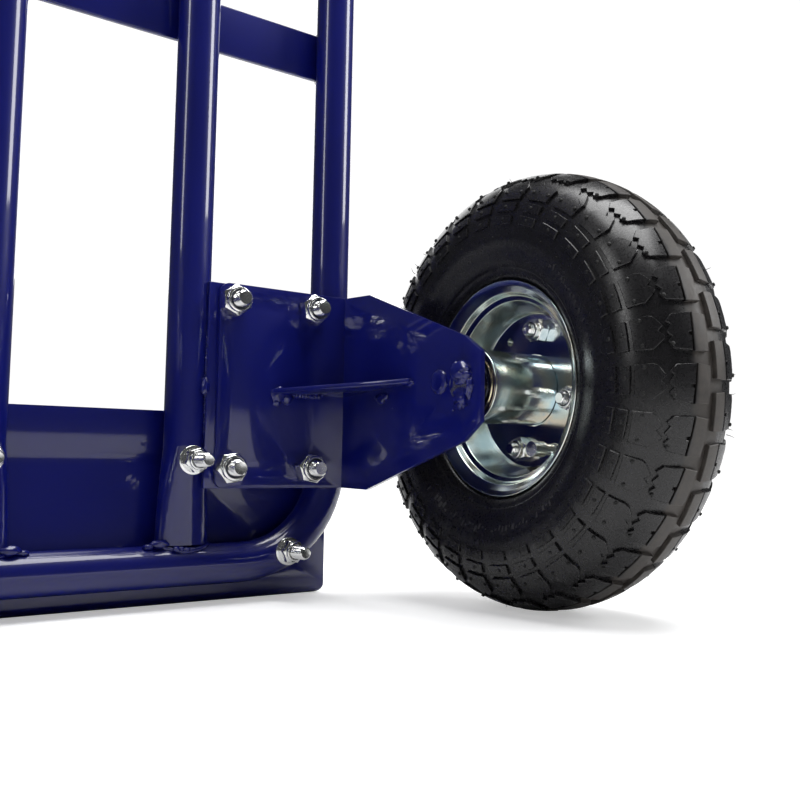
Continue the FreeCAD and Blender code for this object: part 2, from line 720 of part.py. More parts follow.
def inner_ring(name, sign, start):
    low = start if sign > 0 else f"({start} + dims.bearing_width)"
    blank = ring(f"{name}_blank", "dims.ball_circle - 2.4", "dims.axle_radius + 0.02",
                 "dims.bearing_width", f"{sign} * {low}", WHEEL_Y, "dims.tyre_radius", ON_X)
    return cut_from(name, blank, race(name, f"{sign} * ({start} + dims.bearing_width / 2)",
                                      WHEEL_Y, "dims.tyre_radius", ON_X))


def race(name, x, y, z, rotation):
    groove = new("Part::Torus", f"{name}_race", Radius1="dims.ball_circle",
                 Radius2="dims.ball_radius + dims.running_gap")
    return place(groove, x, y, z, rotation)


def bracket_rivets():
    """A button head near each axle, on the rear leg's inner face."""
    heads = []
    for side, sign in SIDES.items():
        far = "(dims.bracket_leg - 0.02)"
        start = far if sign < 0 else f"({far} - 2.6)"
        heads.append(rod(f"rivet_{side}", "dims.rivet_radius", "2.6", f"{sign} * {start}",
                         f"{WHEEL_Y} - dims.rivet_forward", "dims.rivet_height", ON_X))
    group("bracket_rivets", heads)


# --- welds ---------------------------------------------------------------------------------

def bead(name, half_x, half_y, half_z, x, y, z):
    """A lump of weld metal. The primitive's own axes are Z, X, Y."""
    lump = new("Part::Ellipsoid", name, Radius1=half_z, Radius2=half_x, Radius3=half_y)
    return place(lump, x, y, z)


def welds():
    rail, plates, straps, gussets, axles = [], [], [], [], []
    for side, sign in SIDES.items():
        inner, outer = f"{sign} * dims.inner_span", f"{sign} * dims.outer_span"
        rail.append(bead(f"rail_weld_{side}", "dims.rail_weld_across", "dims.rail_weld_deep",
                         "dims.rail_weld_high", inner, FRAME_Y, "dims.loop_foot"))
        inner_edge = "(dims.plate_inner - dims.plate_weld_past)"
        outer_edge = "(dims.plate_outer + dims.plate_weld_past)"
        middle, high = "dims.tyre_radius + 2", "dims.bracket_high - 12"
        for place_name, edge, deep, height in (
                ("inner", inner_edge, "2", middle), ("inner", inner_edge, "2", high),
                ("outer", outer_edge, "1", "dims.bracket_low + 10"),
                ("outer", outer_edge, "1", middle), ("outer", outer_edge, "1", high)):
            plates.append(bead(f"plate_weld_{place_name}_{side}_{len(plates)}", "dims.plate_weld_across",
                               "dims.plate_weld_deep", "dims.plate_weld_high",
                               f"{sign} * {edge}", f"{PLATE_Y} + {deep}", height))
        for level in range(3):
            for edge in ("0", "dims.strap_deep"):
                for across in (inner, outer):
                    height = f"dims.strap_low + {level} * dims.strap_pitch + {edge}"
                    straps.append(prism(f"strap_weld_{side}_{len(straps)}", 8, "dims.strap_weld_flats",
                                        "dims.strap_weld_length", f"{across} - dims.strap_weld_length / 2",
                                        f"{FRONT_Y} - dims.strap_weld_sunk", height, ON_X))
        gussets.append(bead(f"gusset_weld_tip_{side}", "dims.tip_weld_across", "dims.tip_weld_deep",
                            "dims.gusset_weld_high", f"{sign} * (dims.gusset_inner + 3)",
                            f"{BRACKET_Y} + dims.tip_weld_deep / 2", "dims.gusset_low - 1"))
        gussets.append(bead(f"gusset_weld_leg_{side}", "dims.leg_weld_across", "dims.leg_weld_deep",
                            "dims.gusset_weld_high", f"{sign} * (dims.bracket_leg - dims.leg_weld_across / 2)",
                            f"{BRACKET_Y} + dims.leg_weld_reach", "dims.gusset_low - 1"))
        gussets.append(bead(f"gusset_weld_end_{side}", "dims.end_weld_across", "dims.end_weld_deep",
                            "dims.end_weld_high", f"{sign} * (dims.bracket_leg - dims.end_weld_across / 2)",
                            f"{BRACKET_Y} + dims.gusset_reach - 1",
                            "dims.gusset_low + dims.gusset_reach * sin(dims.gusset_turn) + dims.sheet / 2"))
        fillet = new("Part::Torus", f"axle_weld_{side}", Radius1="dims.axle_weld_radius",
                     Radius2="dims.axle_weld_thick")
        axles.append(place(fillet, f"{sign} * (dims.bracket_leg - 0.4)", WHEEL_Y, "dims.tyre_radius", ON_X))
    group("rail_welds", rail)
    group("plate_welds", plates)
    group("strap_welds", straps)
    group("gusset_welds", gussets)
    group("axle_welds", axles)


# --- wheels --------------------------------------------------------------------------------

def rim_half(label, direction):
    """One pressed half: web, well, bead seat and lip. direction is +1 for the half whose dish
    opens inboard, along the wheel's +X."""
    joint = "(dims.web_face - dims.rim_sheet)"

    def along(reach):
        """From the halves' joint plane to a station measured from the wheel's centre plane."""
        return f"{direction} * ({reach})"

    web = "dims.web_face" if direction > 0 else OUTER_WEB
    lip, well, seat, sheet = "dims.lip_half", "dims.well_radius", "dims.seat_radius", "dims.rim_sheet"
    return turned(label, [
        (web, "dims.hub_radius + 0.05"),
        (web, f"{well} - 2"),
        (f"{web} + {direction} * 2.4", well),
        (along(f"{lip} - 8.4"), seat),
        (along(f"{lip} - 7.2"), f"{seat} + 2.6"),
        (along(f"{lip} - 4.2"), f"{seat} + 3.4"),
        (along(f"{lip} - 1.4"), "dims.lip_radius - 4"),
        (along(lip), "dims.lip_radius"),
        (along(f"{lip} - {sheet}"), "dims.lip_radius"),
        (along(f"{lip} - {sheet} - 1.4"), "dims.lip_radius - 3.2"),
        (along(f"{lip} - {sheet} - 3.4"), f"{seat} + 5.4"),
        (along(f"{lip} - {sheet} - 6.8"), f"{seat} + 4.4"),
        (along(f"{lip} - {sheet} - 8"), f"{seat} + 2"),
        (f"{joint} + {direction} * 2.2", f"{well} + 2.1"),
        (joint, f"{well} - 0.2"),
        (joint, "dims.hub_radius + 0.05"),
    ])


def wheel_place(thing, sign):
    """Stand a part drawn round the wheel's own centre at its wheel; +X of the part is inboard."""
    rotation = Rotation(Vector(0, 0, 1), 0 if sign < 0 else 180)
    return place(thing, f"{sign} * dims.wheel_span", WHEEL_Y, "dims.tyre_radius", rotation)


def tyre(side, sign):
    shoulder = "dims.tyre_radius - dims.crown_drop"
    crown, wall = "dims.crown_radius", "dims.sidewall_radius"
    body = turned(f"tyre_{side}", [
        ("20", "dims.seat_radius + 5"), ("26.4", "dims.seat_radius + 5.2"),
        ("28.9", "dims.lip_radius - 1.6"), ("30.2", "dims.lip_radius + 0.6"),
        ("33.6", "dims.lip_radius + 1.6", wall),
        ("dims.crown_half", shoulder, crown),
        ("-dims.crown_half", shoulder, wall),
        ("-33.6", "dims.lip_radius + 1.6"), ("-30.2", "dims.lip_radius + 0.6"),
        ("-28.9", "dims.lip_radius - 1.6"), ("-26.4", "dims.seat_radius + 5.2"),
        ("-20", "dims.seat_radius + 5"), ("-22", "dims.seat_radius + 9", "-36"),
        ("-23", "dims.tyre_radius - 19", "-50"),
        ("23", "dims.tyre_radius - 19", "-36"),
        ("22", "dims.seat_radius + 9"),
    ])
    wheel_place(body, sign)


def inner_tube(side, sign):
    def loop(inset):
        low, high = f"dims.seat_radius + 4 + {inset}", f"dims.tyre_radius - 21 - {inset}"
        return [
            (f"16 - {inset}", low, f"37 - {inset}"),
            (f"21 - {inset}", high, f"50 - {inset}"),
            (f"-21 + {inset}", high, f"37 - {inset}"),
            (f"-16 + {inset}", low, f"40 + {inset}"),
        ]

    wheel_place(turned(f"inner_tube_{side}", loop("0"), loop("2")), sign)


def round_the_web(turn, radius):
    """A place on the web: degrees from the front, going up and to the rear."""
    return f"-{radius} * cos({turn})", f"{radius} * sin({turn})"


def drilled_rim(label, sign, direction):
    """A rim half with its bolt holes and, in the inboard one, a vent hole and the valve's slot."""
    body = rim_half(label, direction)
    holes = new_sketch(body, "YZ_Plane", "dims.web_face / 2")
    for step in range(4):
        y, z = round_the_web(f"(dims.rim_bolt_turn + {90 * step})", "dims.rim_bolt_circle")
        circle(holes, y, z, M8_HOLE)
    if direction > 0:
        y, z = round_the_web("dims.vent_turn", "dims.vent_circle")
        circle(holes, y, z, "dims.vent_radius")
    pocket(body, holes, "3 * dims.web_face", both=True)
    if direction > 0:
        y, z = round_the_web("dims.valve_turn", "(dims.well_radius + 3)")
        slot = new_sketch(body, "YZ_Plane", "dims.valve_station")
        circle(slot, y, z, "dims.valve_slot")
        pocket(body, slot, "dims.valve_slot + 1", both=True)
    return wheel_place(body, sign)


def hub_tube(side, sign):
    bore, pocket_radius = "dims.hub_bore", "dims.bearing_radius + 0.01"
    inboard, outboard, depth = "dims.hub_inboard", "-dims.hub_outboard", "dims.bearing_width"
    body = turned(f"hub_tube_{side}", [
        (outboard, "dims.hub_radius"), (inboard, "dims.hub_radius"),
        (inboard, pocket_radius), (f"{inboard} - {depth} - 0.4", pocket_radius),
        (f"{inboard} - {depth} - 0.4", bore), (f"{outboard} + {depth} + 0.4", bore),
        (f"{outboard} + {depth} + 0.4", pocket_radius), (outboard, pocket_radius),
    ])
    wheel_place(body, sign)


def bearings(side, sign):
    """Outer rings, balls and seals turn with the wheel."""
    rings, balls, seals = [], [], []
    width = "dims.bearing_width"
    for number, start in enumerate((f"(dims.hub_inboard - {width} - 0.2)", "(-dims.hub_outboard + 0.2)")):
        name = f"bearing_{side}_{number}"
        blank = ring(f"{name}_blank", "dims.bearing_radius", "dims.ball_circle + 2.4", width, start,
                     rotation=ON_X)
        middle = f"({start} + {width} / 2)"
        rings.append(cut_from(f"{name}_ring", blank, race(name, middle, "0", "0", ON_X)))
        for step in range(8):
            ball = new("Part::Sphere", f"{name}_ball_{step}", Radius="dims.ball_radius")
            place(ball, middle, f"dims.ball_circle * cos({45 * step})", f"dims.ball_circle * sin({45 * step})")
            balls.append(ball)
        for end in (f"{start} + 0.5", f"{start} + {width} - 1.5"):
            seals.append(ring(f"{name}_seal_{len(seals)}", "dims.ball_circle + 2.35",
                              "dims.ball_circle - 2.2", "1", end, rotation=ON_X))
    for label, members in (("bearing_outer_rings", rings), ("bearing_balls", balls), ("bearing_seals", seals)):
        wheel_place(group(f"{label}_{side}", members), sign)


def rim_fasteners(side, sign):
    """Bolts along the axle's direction; heads outboard, nuts on the inboard web."""
    bolts, nuts = [], []
    for step in range(4):
        y, z = round_the_web(f"(dims.rim_bolt_turn + {90 * step})", "dims.rim_bolt_circle")
        name = f"rim_bolt_{side}_{step}"
        shank = rod(f"{name}_shank", "dims.m8_radius", "2 * dims.rim_sheet + dims.rim_bolt_stand_out",
                    OUTER_WEB, y, z, ON_X)
        head = hexagon(f"{name}_head", "dims.m8_flats", "dims.m8_head",
                       f"{OUTER_WEB} - dims.m8_head", y, z, ON_X)
        bolts.append(joined(name, [shank, head]))
        nuts.append(lock_nut(f"{name}_nut", "dims.web_face", y, z, "dims.m8_radius", "dims.m8_flats",
                             "dims.m8_nut", "dims.m8_collar", "dims.m8_collar_radius", ON_X))
    wheel_place(group(f"rim_bolts_{side}", bolts), sign)
    wheel_place(group(f"rim_nuts_{side}", nuts), sign)


def valve(side, sign):
    """A bent metal stem: out of the well between two bolts, then inboard along the barrel."""
    turn, at, radius = "dims.valve_turn", "dims.valve_station", "dims.valve_radius"

    def spoke(name, thick, low, high):
        """A round bar along the valve's own radius, between two distances from the axle."""
        bar = rod(name, thick, f"{high} - ({low})", at, *round_the_web(turn, f"({low})"))
        outward = Vector(0, -math.cos(math.radians(size(turn))), math.sin(math.radians(size(turn))))
        bar.Placement = Placement(bar.Placement.Base, Rotation(Vector(0, 0, 1), outward))
        return bar

    def lengthwise(name, thick, start, end):
        return rod(name, thick, f"{end} - ({start})", start, *round_the_web(turn, "dims.valve_reach"), ON_X)

    neck = spoke(f"valve_neck_{side}", radius, "dims.valve_reach", "dims.well_radius + dims.valve_neck")
    elbow = new("Part::Sphere", f"valve_elbow_{side}", Radius="dims.valve_elbow")
    place(elbow, at, *round_the_web(turn, "dims.valve_reach"))
    stem = lengthwise(f"valve_rod_{side}", radius, at, f"{at} + dims.valve_rod")
    wheel_place(keep(joined(f"valve_stem_{side}", [neck, elbow, stem]), f"valve_stem_{side}"), sign)
    sleeve = ring(f"valve_sleeve_{side}", "dims.valve_cap_radius", f"{radius} + 0.05",
                  "dims.valve_rod - dims.valve_cap_start", f"{at} + dims.valve_cap_start",
                  *round_the_web(turn, "dims.valve_reach"), ON_X)
    top = lengthwise(f"valve_top_{side}", "dims.valve_cap_radius", f"{at} + dims.valve_rod",
                     f"{at} + dims.valve_cap_end")
    wheel_place(keep(joined(f"valve_cap_solid_{side}", [sleeve, top]), f"valve_cap_{side}"), sign)


outer_frame_tube()
inner_loop_tube()
cross_straps()
toe_plate()
for side, sign in SIDES.items():
    mounting_plate(side, sign)
    wheel_bracket(side, sign)
    bracket_gusset(side, sign)
    stub_axle(side, sign)
    handle_grip(side, sign)
bracket_fasteners()
toe_fasteners()
axle_hardware()
bracket_rivets()
welds()
for side, sign in SIDES.items():
    tyre(side, sign)
    inner_tube(side, sign)
    drilled_rim(f"rim_half_inner_{side}", sign, 1)
    drilled_rim(f"rim_half_outer_{side}", sign, -1)
    hub_tube(side, sign)
    bearings(side, sign)
    rim_fasteners(side, sign)
    valve(side, sign)
doc.recompute()

faults = [thing.Label for thing in doc.Objects if {"Invalid", "Error"} & set(thing.State)]
for part in parts:
    if part.Shape.isNull() or not part.Shape.isValid() or not part.Shape.Solids:
        faults.append(part.Label)
if faults:
    raise RuntimeError("failed: " + ", ".join(sorted(set(faults))))

os.makedirs("parts", exist_ok=True)
for part in parts:
    part.Shape.exportStep(os.path.join("parts", f"{part.Label}.step"))
print(len(parts), "sub-parts written")
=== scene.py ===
import json
import random
from math import ceil, copysign, cos, pi, radians, sin, sqrt, tan

import bmesh
import bpy
from mathutils import Matrix, Vector, geometry, noise


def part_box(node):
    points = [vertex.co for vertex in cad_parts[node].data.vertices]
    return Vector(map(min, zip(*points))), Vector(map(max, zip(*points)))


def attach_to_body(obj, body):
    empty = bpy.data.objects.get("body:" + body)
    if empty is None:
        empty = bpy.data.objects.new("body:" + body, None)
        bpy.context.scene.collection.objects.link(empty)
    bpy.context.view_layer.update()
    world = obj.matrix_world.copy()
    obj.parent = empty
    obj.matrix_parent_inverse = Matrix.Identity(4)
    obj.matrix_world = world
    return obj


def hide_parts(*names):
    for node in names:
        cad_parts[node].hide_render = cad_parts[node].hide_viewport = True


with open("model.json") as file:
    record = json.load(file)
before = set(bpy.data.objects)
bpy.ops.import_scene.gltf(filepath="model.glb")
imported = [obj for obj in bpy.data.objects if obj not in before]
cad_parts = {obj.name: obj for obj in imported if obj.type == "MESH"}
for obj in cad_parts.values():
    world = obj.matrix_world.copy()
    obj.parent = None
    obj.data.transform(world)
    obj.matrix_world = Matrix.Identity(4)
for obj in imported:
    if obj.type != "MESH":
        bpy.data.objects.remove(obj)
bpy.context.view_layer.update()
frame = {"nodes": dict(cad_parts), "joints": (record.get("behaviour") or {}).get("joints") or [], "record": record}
NODES = frame["nodes"]
MM = 0.001
SIDES = {"right": -1, "left": 1}


# --- places read from the frame, in millimetres ---

def span(node):
    """A CAD node's lowest and highest corner in millimetres."""
    low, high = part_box(node)
    return Vector(low) / MM, Vector(high) / MM


def wheel_centre(side):
    joint = next(j for j in frame["joints"] if j["child"] == f"{side}_wheel")
    return Vector(joint["pos_m"]) / MM


AXLE_Y, AXLE_Z = wheel_centre("right").y, wheel_centre("right").z
WHEEL_SPAN = abs(wheel_centre("right").x)
BRACKET_LOW, BRACKET_HIGH = span("wheel_bracket_right")
PLATE_LOW, PLATE_HIGH = span("mounting_plate_right")
PLATE_EDGE, PLATE_FAR = -PLATE_HIGH.x, -PLATE_LOW.x
GUSSET_LOW = span("bracket_gusset_right")[0]
STRAP = [span(f"cross_strap_{n}") for n in ("lower", "middle", "upper")]
LOOP_LOW, LOOP_HIGH = span("inner_loop_tube")
TUBE_Y = (LOOP_LOW.y + LOOP_HIGH.y) / 2
TUBE_R = (LOOP_HIGH.y - LOOP_LOW.y) / 2
OUTER_X = span("outer_frame_tube")[1].x - TUBE_R
FOOT_HALF = 16.0        # half the width of an inner upright's flattened foot
INNER_X = LOOP_HIGH.x - FOOT_HALF
SHEET = PLATE_HIGH.y - PLATE_LOW.y
BRACKET_Y = PLATE_HIGH.y + SHEET
LEG_X = -GUSSET_LOW.x
RIM_NUTS = span("rim_nuts_right")
WEB_FACE = min(abs(p.x - wheel_centre("right").x) for p in RIM_NUTS)


# --- mesh helpers ---

def put(thing):
    bpy.context.scene.collection.objects.link(thing)


class Shape:
    """Collects points and faces in millimetres and becomes one object."""

    def __init__(self):
        self.points = []
        self.faces = []
        self.slots = []

    def add(self, points, faces, matrix=None, slot=0):
        base = len(self.points)
        self.points += [matrix @ Vector(p) if matrix else Vector(p) for p in points]
        self.faces += [[base + i for i in face] for face in faces]
        self.slots += [slot] * len(faces)
        return self

    def make(self, name, materials, body, stands_for=(), slot=None, sharp=32.0):
        mesh = bpy.data.meshes.new(name)
        mesh.from_pydata([p * MM for p in self.points], [], self.faces)
        for material in materials:
            mesh.materials.append(material)
        mesh.polygons.foreach_set("material_index", self.slots)
        finish_mesh(mesh, sharp)
        piece = bpy.data.objects.new(name, mesh)
        put(piece)
        return attach(piece, body, stands_for)


def finish_mesh(mesh, sharp):
    """Point the faces outward and keep edges past an angle crisp."""
    work = bmesh.new()
    work.from_mesh(mesh)
    bmesh.ops.remove_doubles(work, verts=work.verts, dist=1e-6)
    bmesh.ops.recalc_face_normals(work, faces=work.faces)
    for face in work.faces:
        face.smooth = True
    work.to_mesh(mesh)
    work.free()
    mesh.set_sharp_from_angle(angle=radians(sharp))


def attach(piece, body, stands_for=()):
    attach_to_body(piece, body)
    if stands_for:
        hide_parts(*stands_for)
    return piece


def on_circle(x, radius, turn):
    return x, radius * cos(turn), radius * sin(turn)


def ring_faces(rings, around, closed=False):
    """Quads between rings of points; the last ring joins the first if closed."""
    faces = []
    for row in range(rings if closed else rings - 1):
        a, b = row * around, (row + 1) % rings * around
        for step in range(around):
            after = (step + 1) % around
            faces.append((a + step, a + after, b + after, b + step))
    return faces


def spin(profile, segments, closed=True):
    """Turn (along the axis, radius) points about the X axis."""
    points, faces = [], []
    for step in range(segments):
        turn = 2 * pi * step / segments
        points += [on_circle(x, r, turn) for x, r in profile]
    count = len(profile)
    for step in range(segments):
        a, b = step * count, (step + 1) % segments * count
        for i in range(count if closed else count - 1):
            j = (i + 1) % count
            faces.append((a + i, b + i, b + j, a + j))
    return points, faces


def capped(profile, segments):
    """A turned solid whose profile starts and ends on the axis."""
    points, faces = spin(profile[1:-1], segments, closed=False)
    count = len(profile) - 2
    start, end = len(points), len(points) + 1
    points += [(profile[0][0], 0, 0), (profile[-1][0], 0, 0)]
    for step in range(segments):
        a, b = step * count, (step + 1) % segments * count
        faces.append((start, b, a))
        faces.append((end, a + count - 1, b + count - 1))
    return points, faces


def rounded(corners, steps=5):
    """Round a polyline's corners; each corner is (x, y, radius)."""
    result = []
    count = len(corners)
    for i, (x, y, radius) in enumerate(corners):
        here = Vector((x, y))
        before = Vector(corners[i - 1][:2]) - here
        after = Vector(corners[(i + 1) % count][:2]) - here
        if radius <= 0 or before.length < 1e-6 or after.length < 1e-6:
            result.append((x, y))
            continue
        half = before.angle(after) / 2
        reach = min(radius / tan(half), before.length * 0.49, after.length * 0.49)
        radius = reach * tan(half)
        inward = (before.normalized() + after.normalized()).normalized()
        centre = here + inward * radius / sin(half)
        first = here + before.normalized() * reach - centre
        last = here + after.normalized() * reach - centre
        turn = first.angle_signed(last)
        for k in range(steps + 1):
            spot = first.copy()
            spot.rotate(Matrix.Rotation(-turn * k / steps, 2))
            result.append(tuple(centre + spot))
    return result


def along(axis, place):
    """Stand something drawn along +X so that it points along an axis from a place."""
    turn = Vector((1, 0, 0)).rotation_difference(Vector(axis))
    return Matrix.Translation(place) @ turn.to_matrix().to_4x4()


def wheel_matrix(side):
    """The wheel's own frame: its axis is X, and +X points inboard."""
    turn = 0 if SIDES[side] < 0 else pi
    return Matrix.Translation(wheel_centre(side)) @ Matrix.Rotation(turn, 4, "Z")


# --- materials ---

def new_material(name, **sockets):
    material = bpy.data.materials.new(name)
    material.use_nodes = True
    shader = material.node_tree.nodes["Principled BSDF"]
    for socket, value in sockets.items():
        shader.inputs[socket.replace("_", " ")].default_value = value
    return material, material.node_tree, shader


def clouds(tree, scale, **values):
    """Procedural noise on object coordinates, in metres."""
    where = tree.nodes.new("ShaderNodeTexCoord")
    node = tree.nodes.new("ShaderNodeTexNoise")
    node.inputs["Scale"].default_value = scale
    for socket, value in values.items():
        node.inputs[socket].default_value = value
    tree.links.new(where.outputs["Object"], node.inputs["Vector"])
    return node.outputs["Fac"]


def maths(tree, operation, *values):
    """A maths node; each value is a number or another node's output."""
    node = tree.nodes.new("ShaderNodeMath")
    node.operation = operation
    for socket, value in zip(node.inputs, values):
        if isinstance(value, bpy.types.NodeSocket):
            tree.links.new(value, socket)
        else:
            socket.default_value = value
    return node.outputs["Value"]


def ramp(tree, source, stops):
    node = tree.nodes.new("ShaderNodeValToRGB")
    while len(node.color_ramp.elements) < len(stops):
        node.color_ramp.elements.new(0.5)
    for element, (place, colour) in zip(node.color_ramp.elements, stops):
        element.position = place
        element.color = (*colour, 1) if len(colour) == 3 else colour
    tree.links.new(source, node.inputs["Fac"])
    return node.outputs["Color"]


def spread(tree, source, low, high, from_low=0.35, from_high=0.65):
    node = tree.nodes.new("ShaderNodeMapRange")
    for socket, value in (("From Min", from_low), ("From Max", from_high),
                          ("To Min", low), ("To Max", high)):
        node.inputs[socket].default_value = value
    tree.links.new(source, node.inputs["Value"])
    return node.outputs["Result"]


def bump(tree, shader, layers):
    """Stack bump layers, each (height output, strength, distance)."""
    last = None
    for height, strength, distance in layers:
        node = tree.nodes.new("ShaderNodeBump")
        node.inputs["Strength"].default_value = strength
        node.inputs["Distance"].default_value = distance
        tree.links.new(height, node.inputs["Height"])
        if last:
            tree.links.new(last, node.inputs["Normal"])
        last = node.outputs["Normal"]
    tree.links.new(last, shader.inputs["Normal"])


def mix_colours(tree, factor, a, b):
    node = tree.nodes.new("ShaderNodeMix")
    node.data_type = "RGBA"
    tree.links.new(factor, node.inputs["Factor"])
    for socket, value in (("A", a), ("B", b)):
        target = next(i for i in node.inputs if i.name == socket and i.type == "RGBA")
        if isinstance(value, bpy.types.NodeSocket):
            tree.links.new(value, target)
        else:
            target.default_value = (*value, 1)
    return next(o for o in node.outputs if o.type == "RGBA")


def blue_paint():
    """Deep navy gloss powder coat: an even tone with a faint orange peel."""
    material, tree, shader = new_material("blue_paint", Coat_Weight=1.0, Coat_Roughness=0.05,
                                          Coat_IOR=1.5, Specular_IOR_Level=0.25)
    tone = ramp(tree, clouds(tree, 9.0, Detail=3.0),
                [(0.3, (0.0022, 0.0046, 0.115)), (0.7, (0.0034, 0.0068, 0.155))])
    tree.links.new(tone, shader.inputs["Base Color"])
    tree.links.new(spread(tree, clouds(tree, 1500.0, Detail=2.0), 0.32, 0.38),
                   shader.inputs["Roughness"])
    peel, wave = clouds(tree, 240.0, Detail=1.5), clouds(tree, 30.0, Detail=1.0)
    bump(tree, shader, [(peel, 0.06, 0.00012), (wave, 0.10, 0.0006)])
    return material


def zinc(name, colours, rough, streak=0.0, dimple=0.08):
    """Bright plated metal: a drifting tone, fine grain, dimples and, if asked, a slow wave."""
    material, tree, shader = new_material(name, Metallic=1.0)
    tone = clouds(tree, 42.0, Detail=4.0, Roughness=0.6, Distortion=0.6)
    tree.links.new(ramp(tree, tone, colours), shader.inputs["Base Color"])
    grain = clouds(tree, 700.0, Detail=3.0)
    tree.links.new(spread(tree, grain, rough[0], rough[1]), shader.inputs["Roughness"])
    layers = [(clouds(tree, 260.0, Detail=2.0), dimple, 0.00008)]
    if streak:
        layers.append((clouds(tree, 60.0, Detail=2.0), streak, 0.0006))
    bump(tree, shader, layers)
    return material


def rubber(name, tone, rough, grain_scale, grain=0.25):
    material, tree, shader = new_material(name)
    dark, light = tuple(c * 0.8 for c in tone), tuple(c * 1.25 for c in tone)
    tree.links.new(ramp(tree, clouds(tree, 30.0, Detail=4.0), [(0.3, dark), (0.7, light)]),
                   shader.inputs["Base Color"])
    speck = clouds(tree, grain_scale, Detail=3.0)
    tree.links.new(spread(tree, speck, rough[0], rough[1]), shader.inputs["Roughness"])
    bump(tree, shader, [(speck, grain, 0.0002)])
    return material


def tyre_rubber():
    """Black moulded rubber, a little glossy, with a dry brown bloom on the crown's lugs."""
    material, tree, shader = new_material("tyre_rubber")
    where = tree.nodes.new("ShaderNodeTexCoord")
    parts = tree.nodes.new("ShaderNodeSeparateXYZ")
    tree.links.new(where.outputs["Object"], parts.inputs["Vector"])
    from_truck = maths(tree, "ABSOLUTE", parts.outputs["X"])
    from_wheel = maths(tree, "ABSOLUTE", maths(tree, "SUBTRACT", from_truck, WHEEL_SPAN * MM))
    crown = spread(tree, from_wheel, 1.0, 0.0, 0.0095, 0.0125)
    streaks = clouds(tree, 170.0, Detail=5.0, Roughness=0.7)
    patch = maths(tree, "MULTIPLY", crown, spread(tree, streaks, 0.45, 1.0, 0.3, 0.6))
    black = ramp(tree, clouds(tree, 24.0, Detail=4.0),
                 [(0.3, (0.0055, 0.0052, 0.0060)), (0.7, (0.0105, 0.0098, 0.0112))])
    tree.links.new(mix_colours(tree, patch, black, (0.060, 0.052, 0.046)),
                   shader.inputs["Base Color"])
    fine, broad = clouds(tree, 900.0, Detail=3.0), clouds(tree, 75.0, Detail=2.0)
    smooth = spread(tree, fine, 0.25, 0.34)
    tree.links.new(maths(tree, "MULTIPLY_ADD", patch, 0.30, smooth), shader.inputs["Roughness"])
    bump(tree, shader, [(fine, 0.14, 0.00012), (broad, 0.10, 0.0006)])
    return material


PAINT = blue_paint()
ZINC = zinc("zinc_fastener", [(0.25, (0.74, 0.75, 0.77)), (0.55, (0.88, 0.88, 0.86)),
                              (0.8, (0.80, 0.82, 0.86))], (0.10, 0.20))
RIM = zinc("zinc_rim", [(0.22, (0.50, 0.62, 0.66)), (0.42, (0.66, 0.77, 0.80)),
                        (0.56, (0.76, 0.78, 0.72)), (0.66, (0.84, 0.76, 0.64)),
                        (0.8, (0.54, 0.68, 0.80))], (0.15, 0.17), streak=0.05, dimple=0.01)
STEEL = zinc("turned_steel", [(0.3, (0.50, 0.50, 0.50)), (0.7, (0.66, 0.65, 0.64))], (0.22, 0.34))
BRASSY = zinc("bearing_ring", [(0.3, (0.60, 0.47, 0.27)), (0.7, (0.80, 0.70, 0.50))], (0.10, 0.18))
TYRE = tyre_rubber()
BUTYL = rubber("butyl_rubber", (0.020, 0.020, 0.021), (0.45, 0.6), 500.0)
GRIP = rubber("grip_rubber", (0.016, 0.016, 0.017), (0.50, 0.68), 1100.0, 0.45)
SEAL = rubber("bearing_seal", (0.006, 0.007, 0.030), (0.18, 0.28), 800.0)
NYLON = rubber("nylon_insert", (0.030, 0.034, 0.055), (0.30, 0.42), 600.0)
MARK = rubber("mark_rubber", (0.045, 0.044, 0.046), (0.45, 0.6), 900.0)
NUB = rubber("nub_rubber", (0.0040, 0.0040, 0.0042), (0.5, 0.7), 900.0)

SLOT_MATERIALS = {
    "blue_paint": PAINT, "zinc_fasteners": ZINC, "zinc_rim": RIM, "bright_steel": STEEL,
    "bearing_steel": BRASSY, "seal_rubber": SEAL, "tyre_rubber": TYRE, "tube_rubber": BUTYL,
    "grip_rubber": GRIP,
}


def dress_frame():
    """Give every CAD node the material of its slot."""
    slots = {s["node"]: s["material_slot"] for s in frame["record"]["subparts"]}
    for name, node in NODES.items():
        node.data.materials.clear()
        node.data.materials.append(SLOT_MATERIALS[slots[name]])


# --- sheet metal: CAD shapes with rolled edges ---

def soften(node, width):
    """A copy of a CAD sheet's mesh with its edges rounded over, as painted metal is."""
    mesh = NODES[node].data.copy()
    mesh.name = f"{node}_finished"
    work = bmesh.new()
    work.from_mesh(mesh)
    bmesh.ops.remove_doubles(work, verts=work.verts, dist=2e-6)
    bmesh.ops.dissolve_limit(work, angle_limit=radians(0.6), verts=work.verts,
                             edges=work.edges)
    bmesh.ops.recalc_face_normals(work, faces=work.faces)
    edges = [e for e in work.edges
             if len(e.link_faces) == 2 and e.calc_face_angle(0) > radians(38)]
    bmesh.ops.bevel(work, geom=edges, offset=width * MM, segments=2, profile=0.5,
                    affect="EDGES", clamp_overlap=True)
    for face in work.faces:
        face.smooth = True
    bmesh.ops.triangulate(work, faces=[f for f in work.faces if len(f.verts) > 4])
    work.to_mesh(mesh)
    work.free()
    mesh.set_sharp_from_angle(angle=radians(35))
    piece = bpy.data.objects.new(f"{node}_finished", mesh)
    put(piece)
    attach(piece, "frame", (node,))


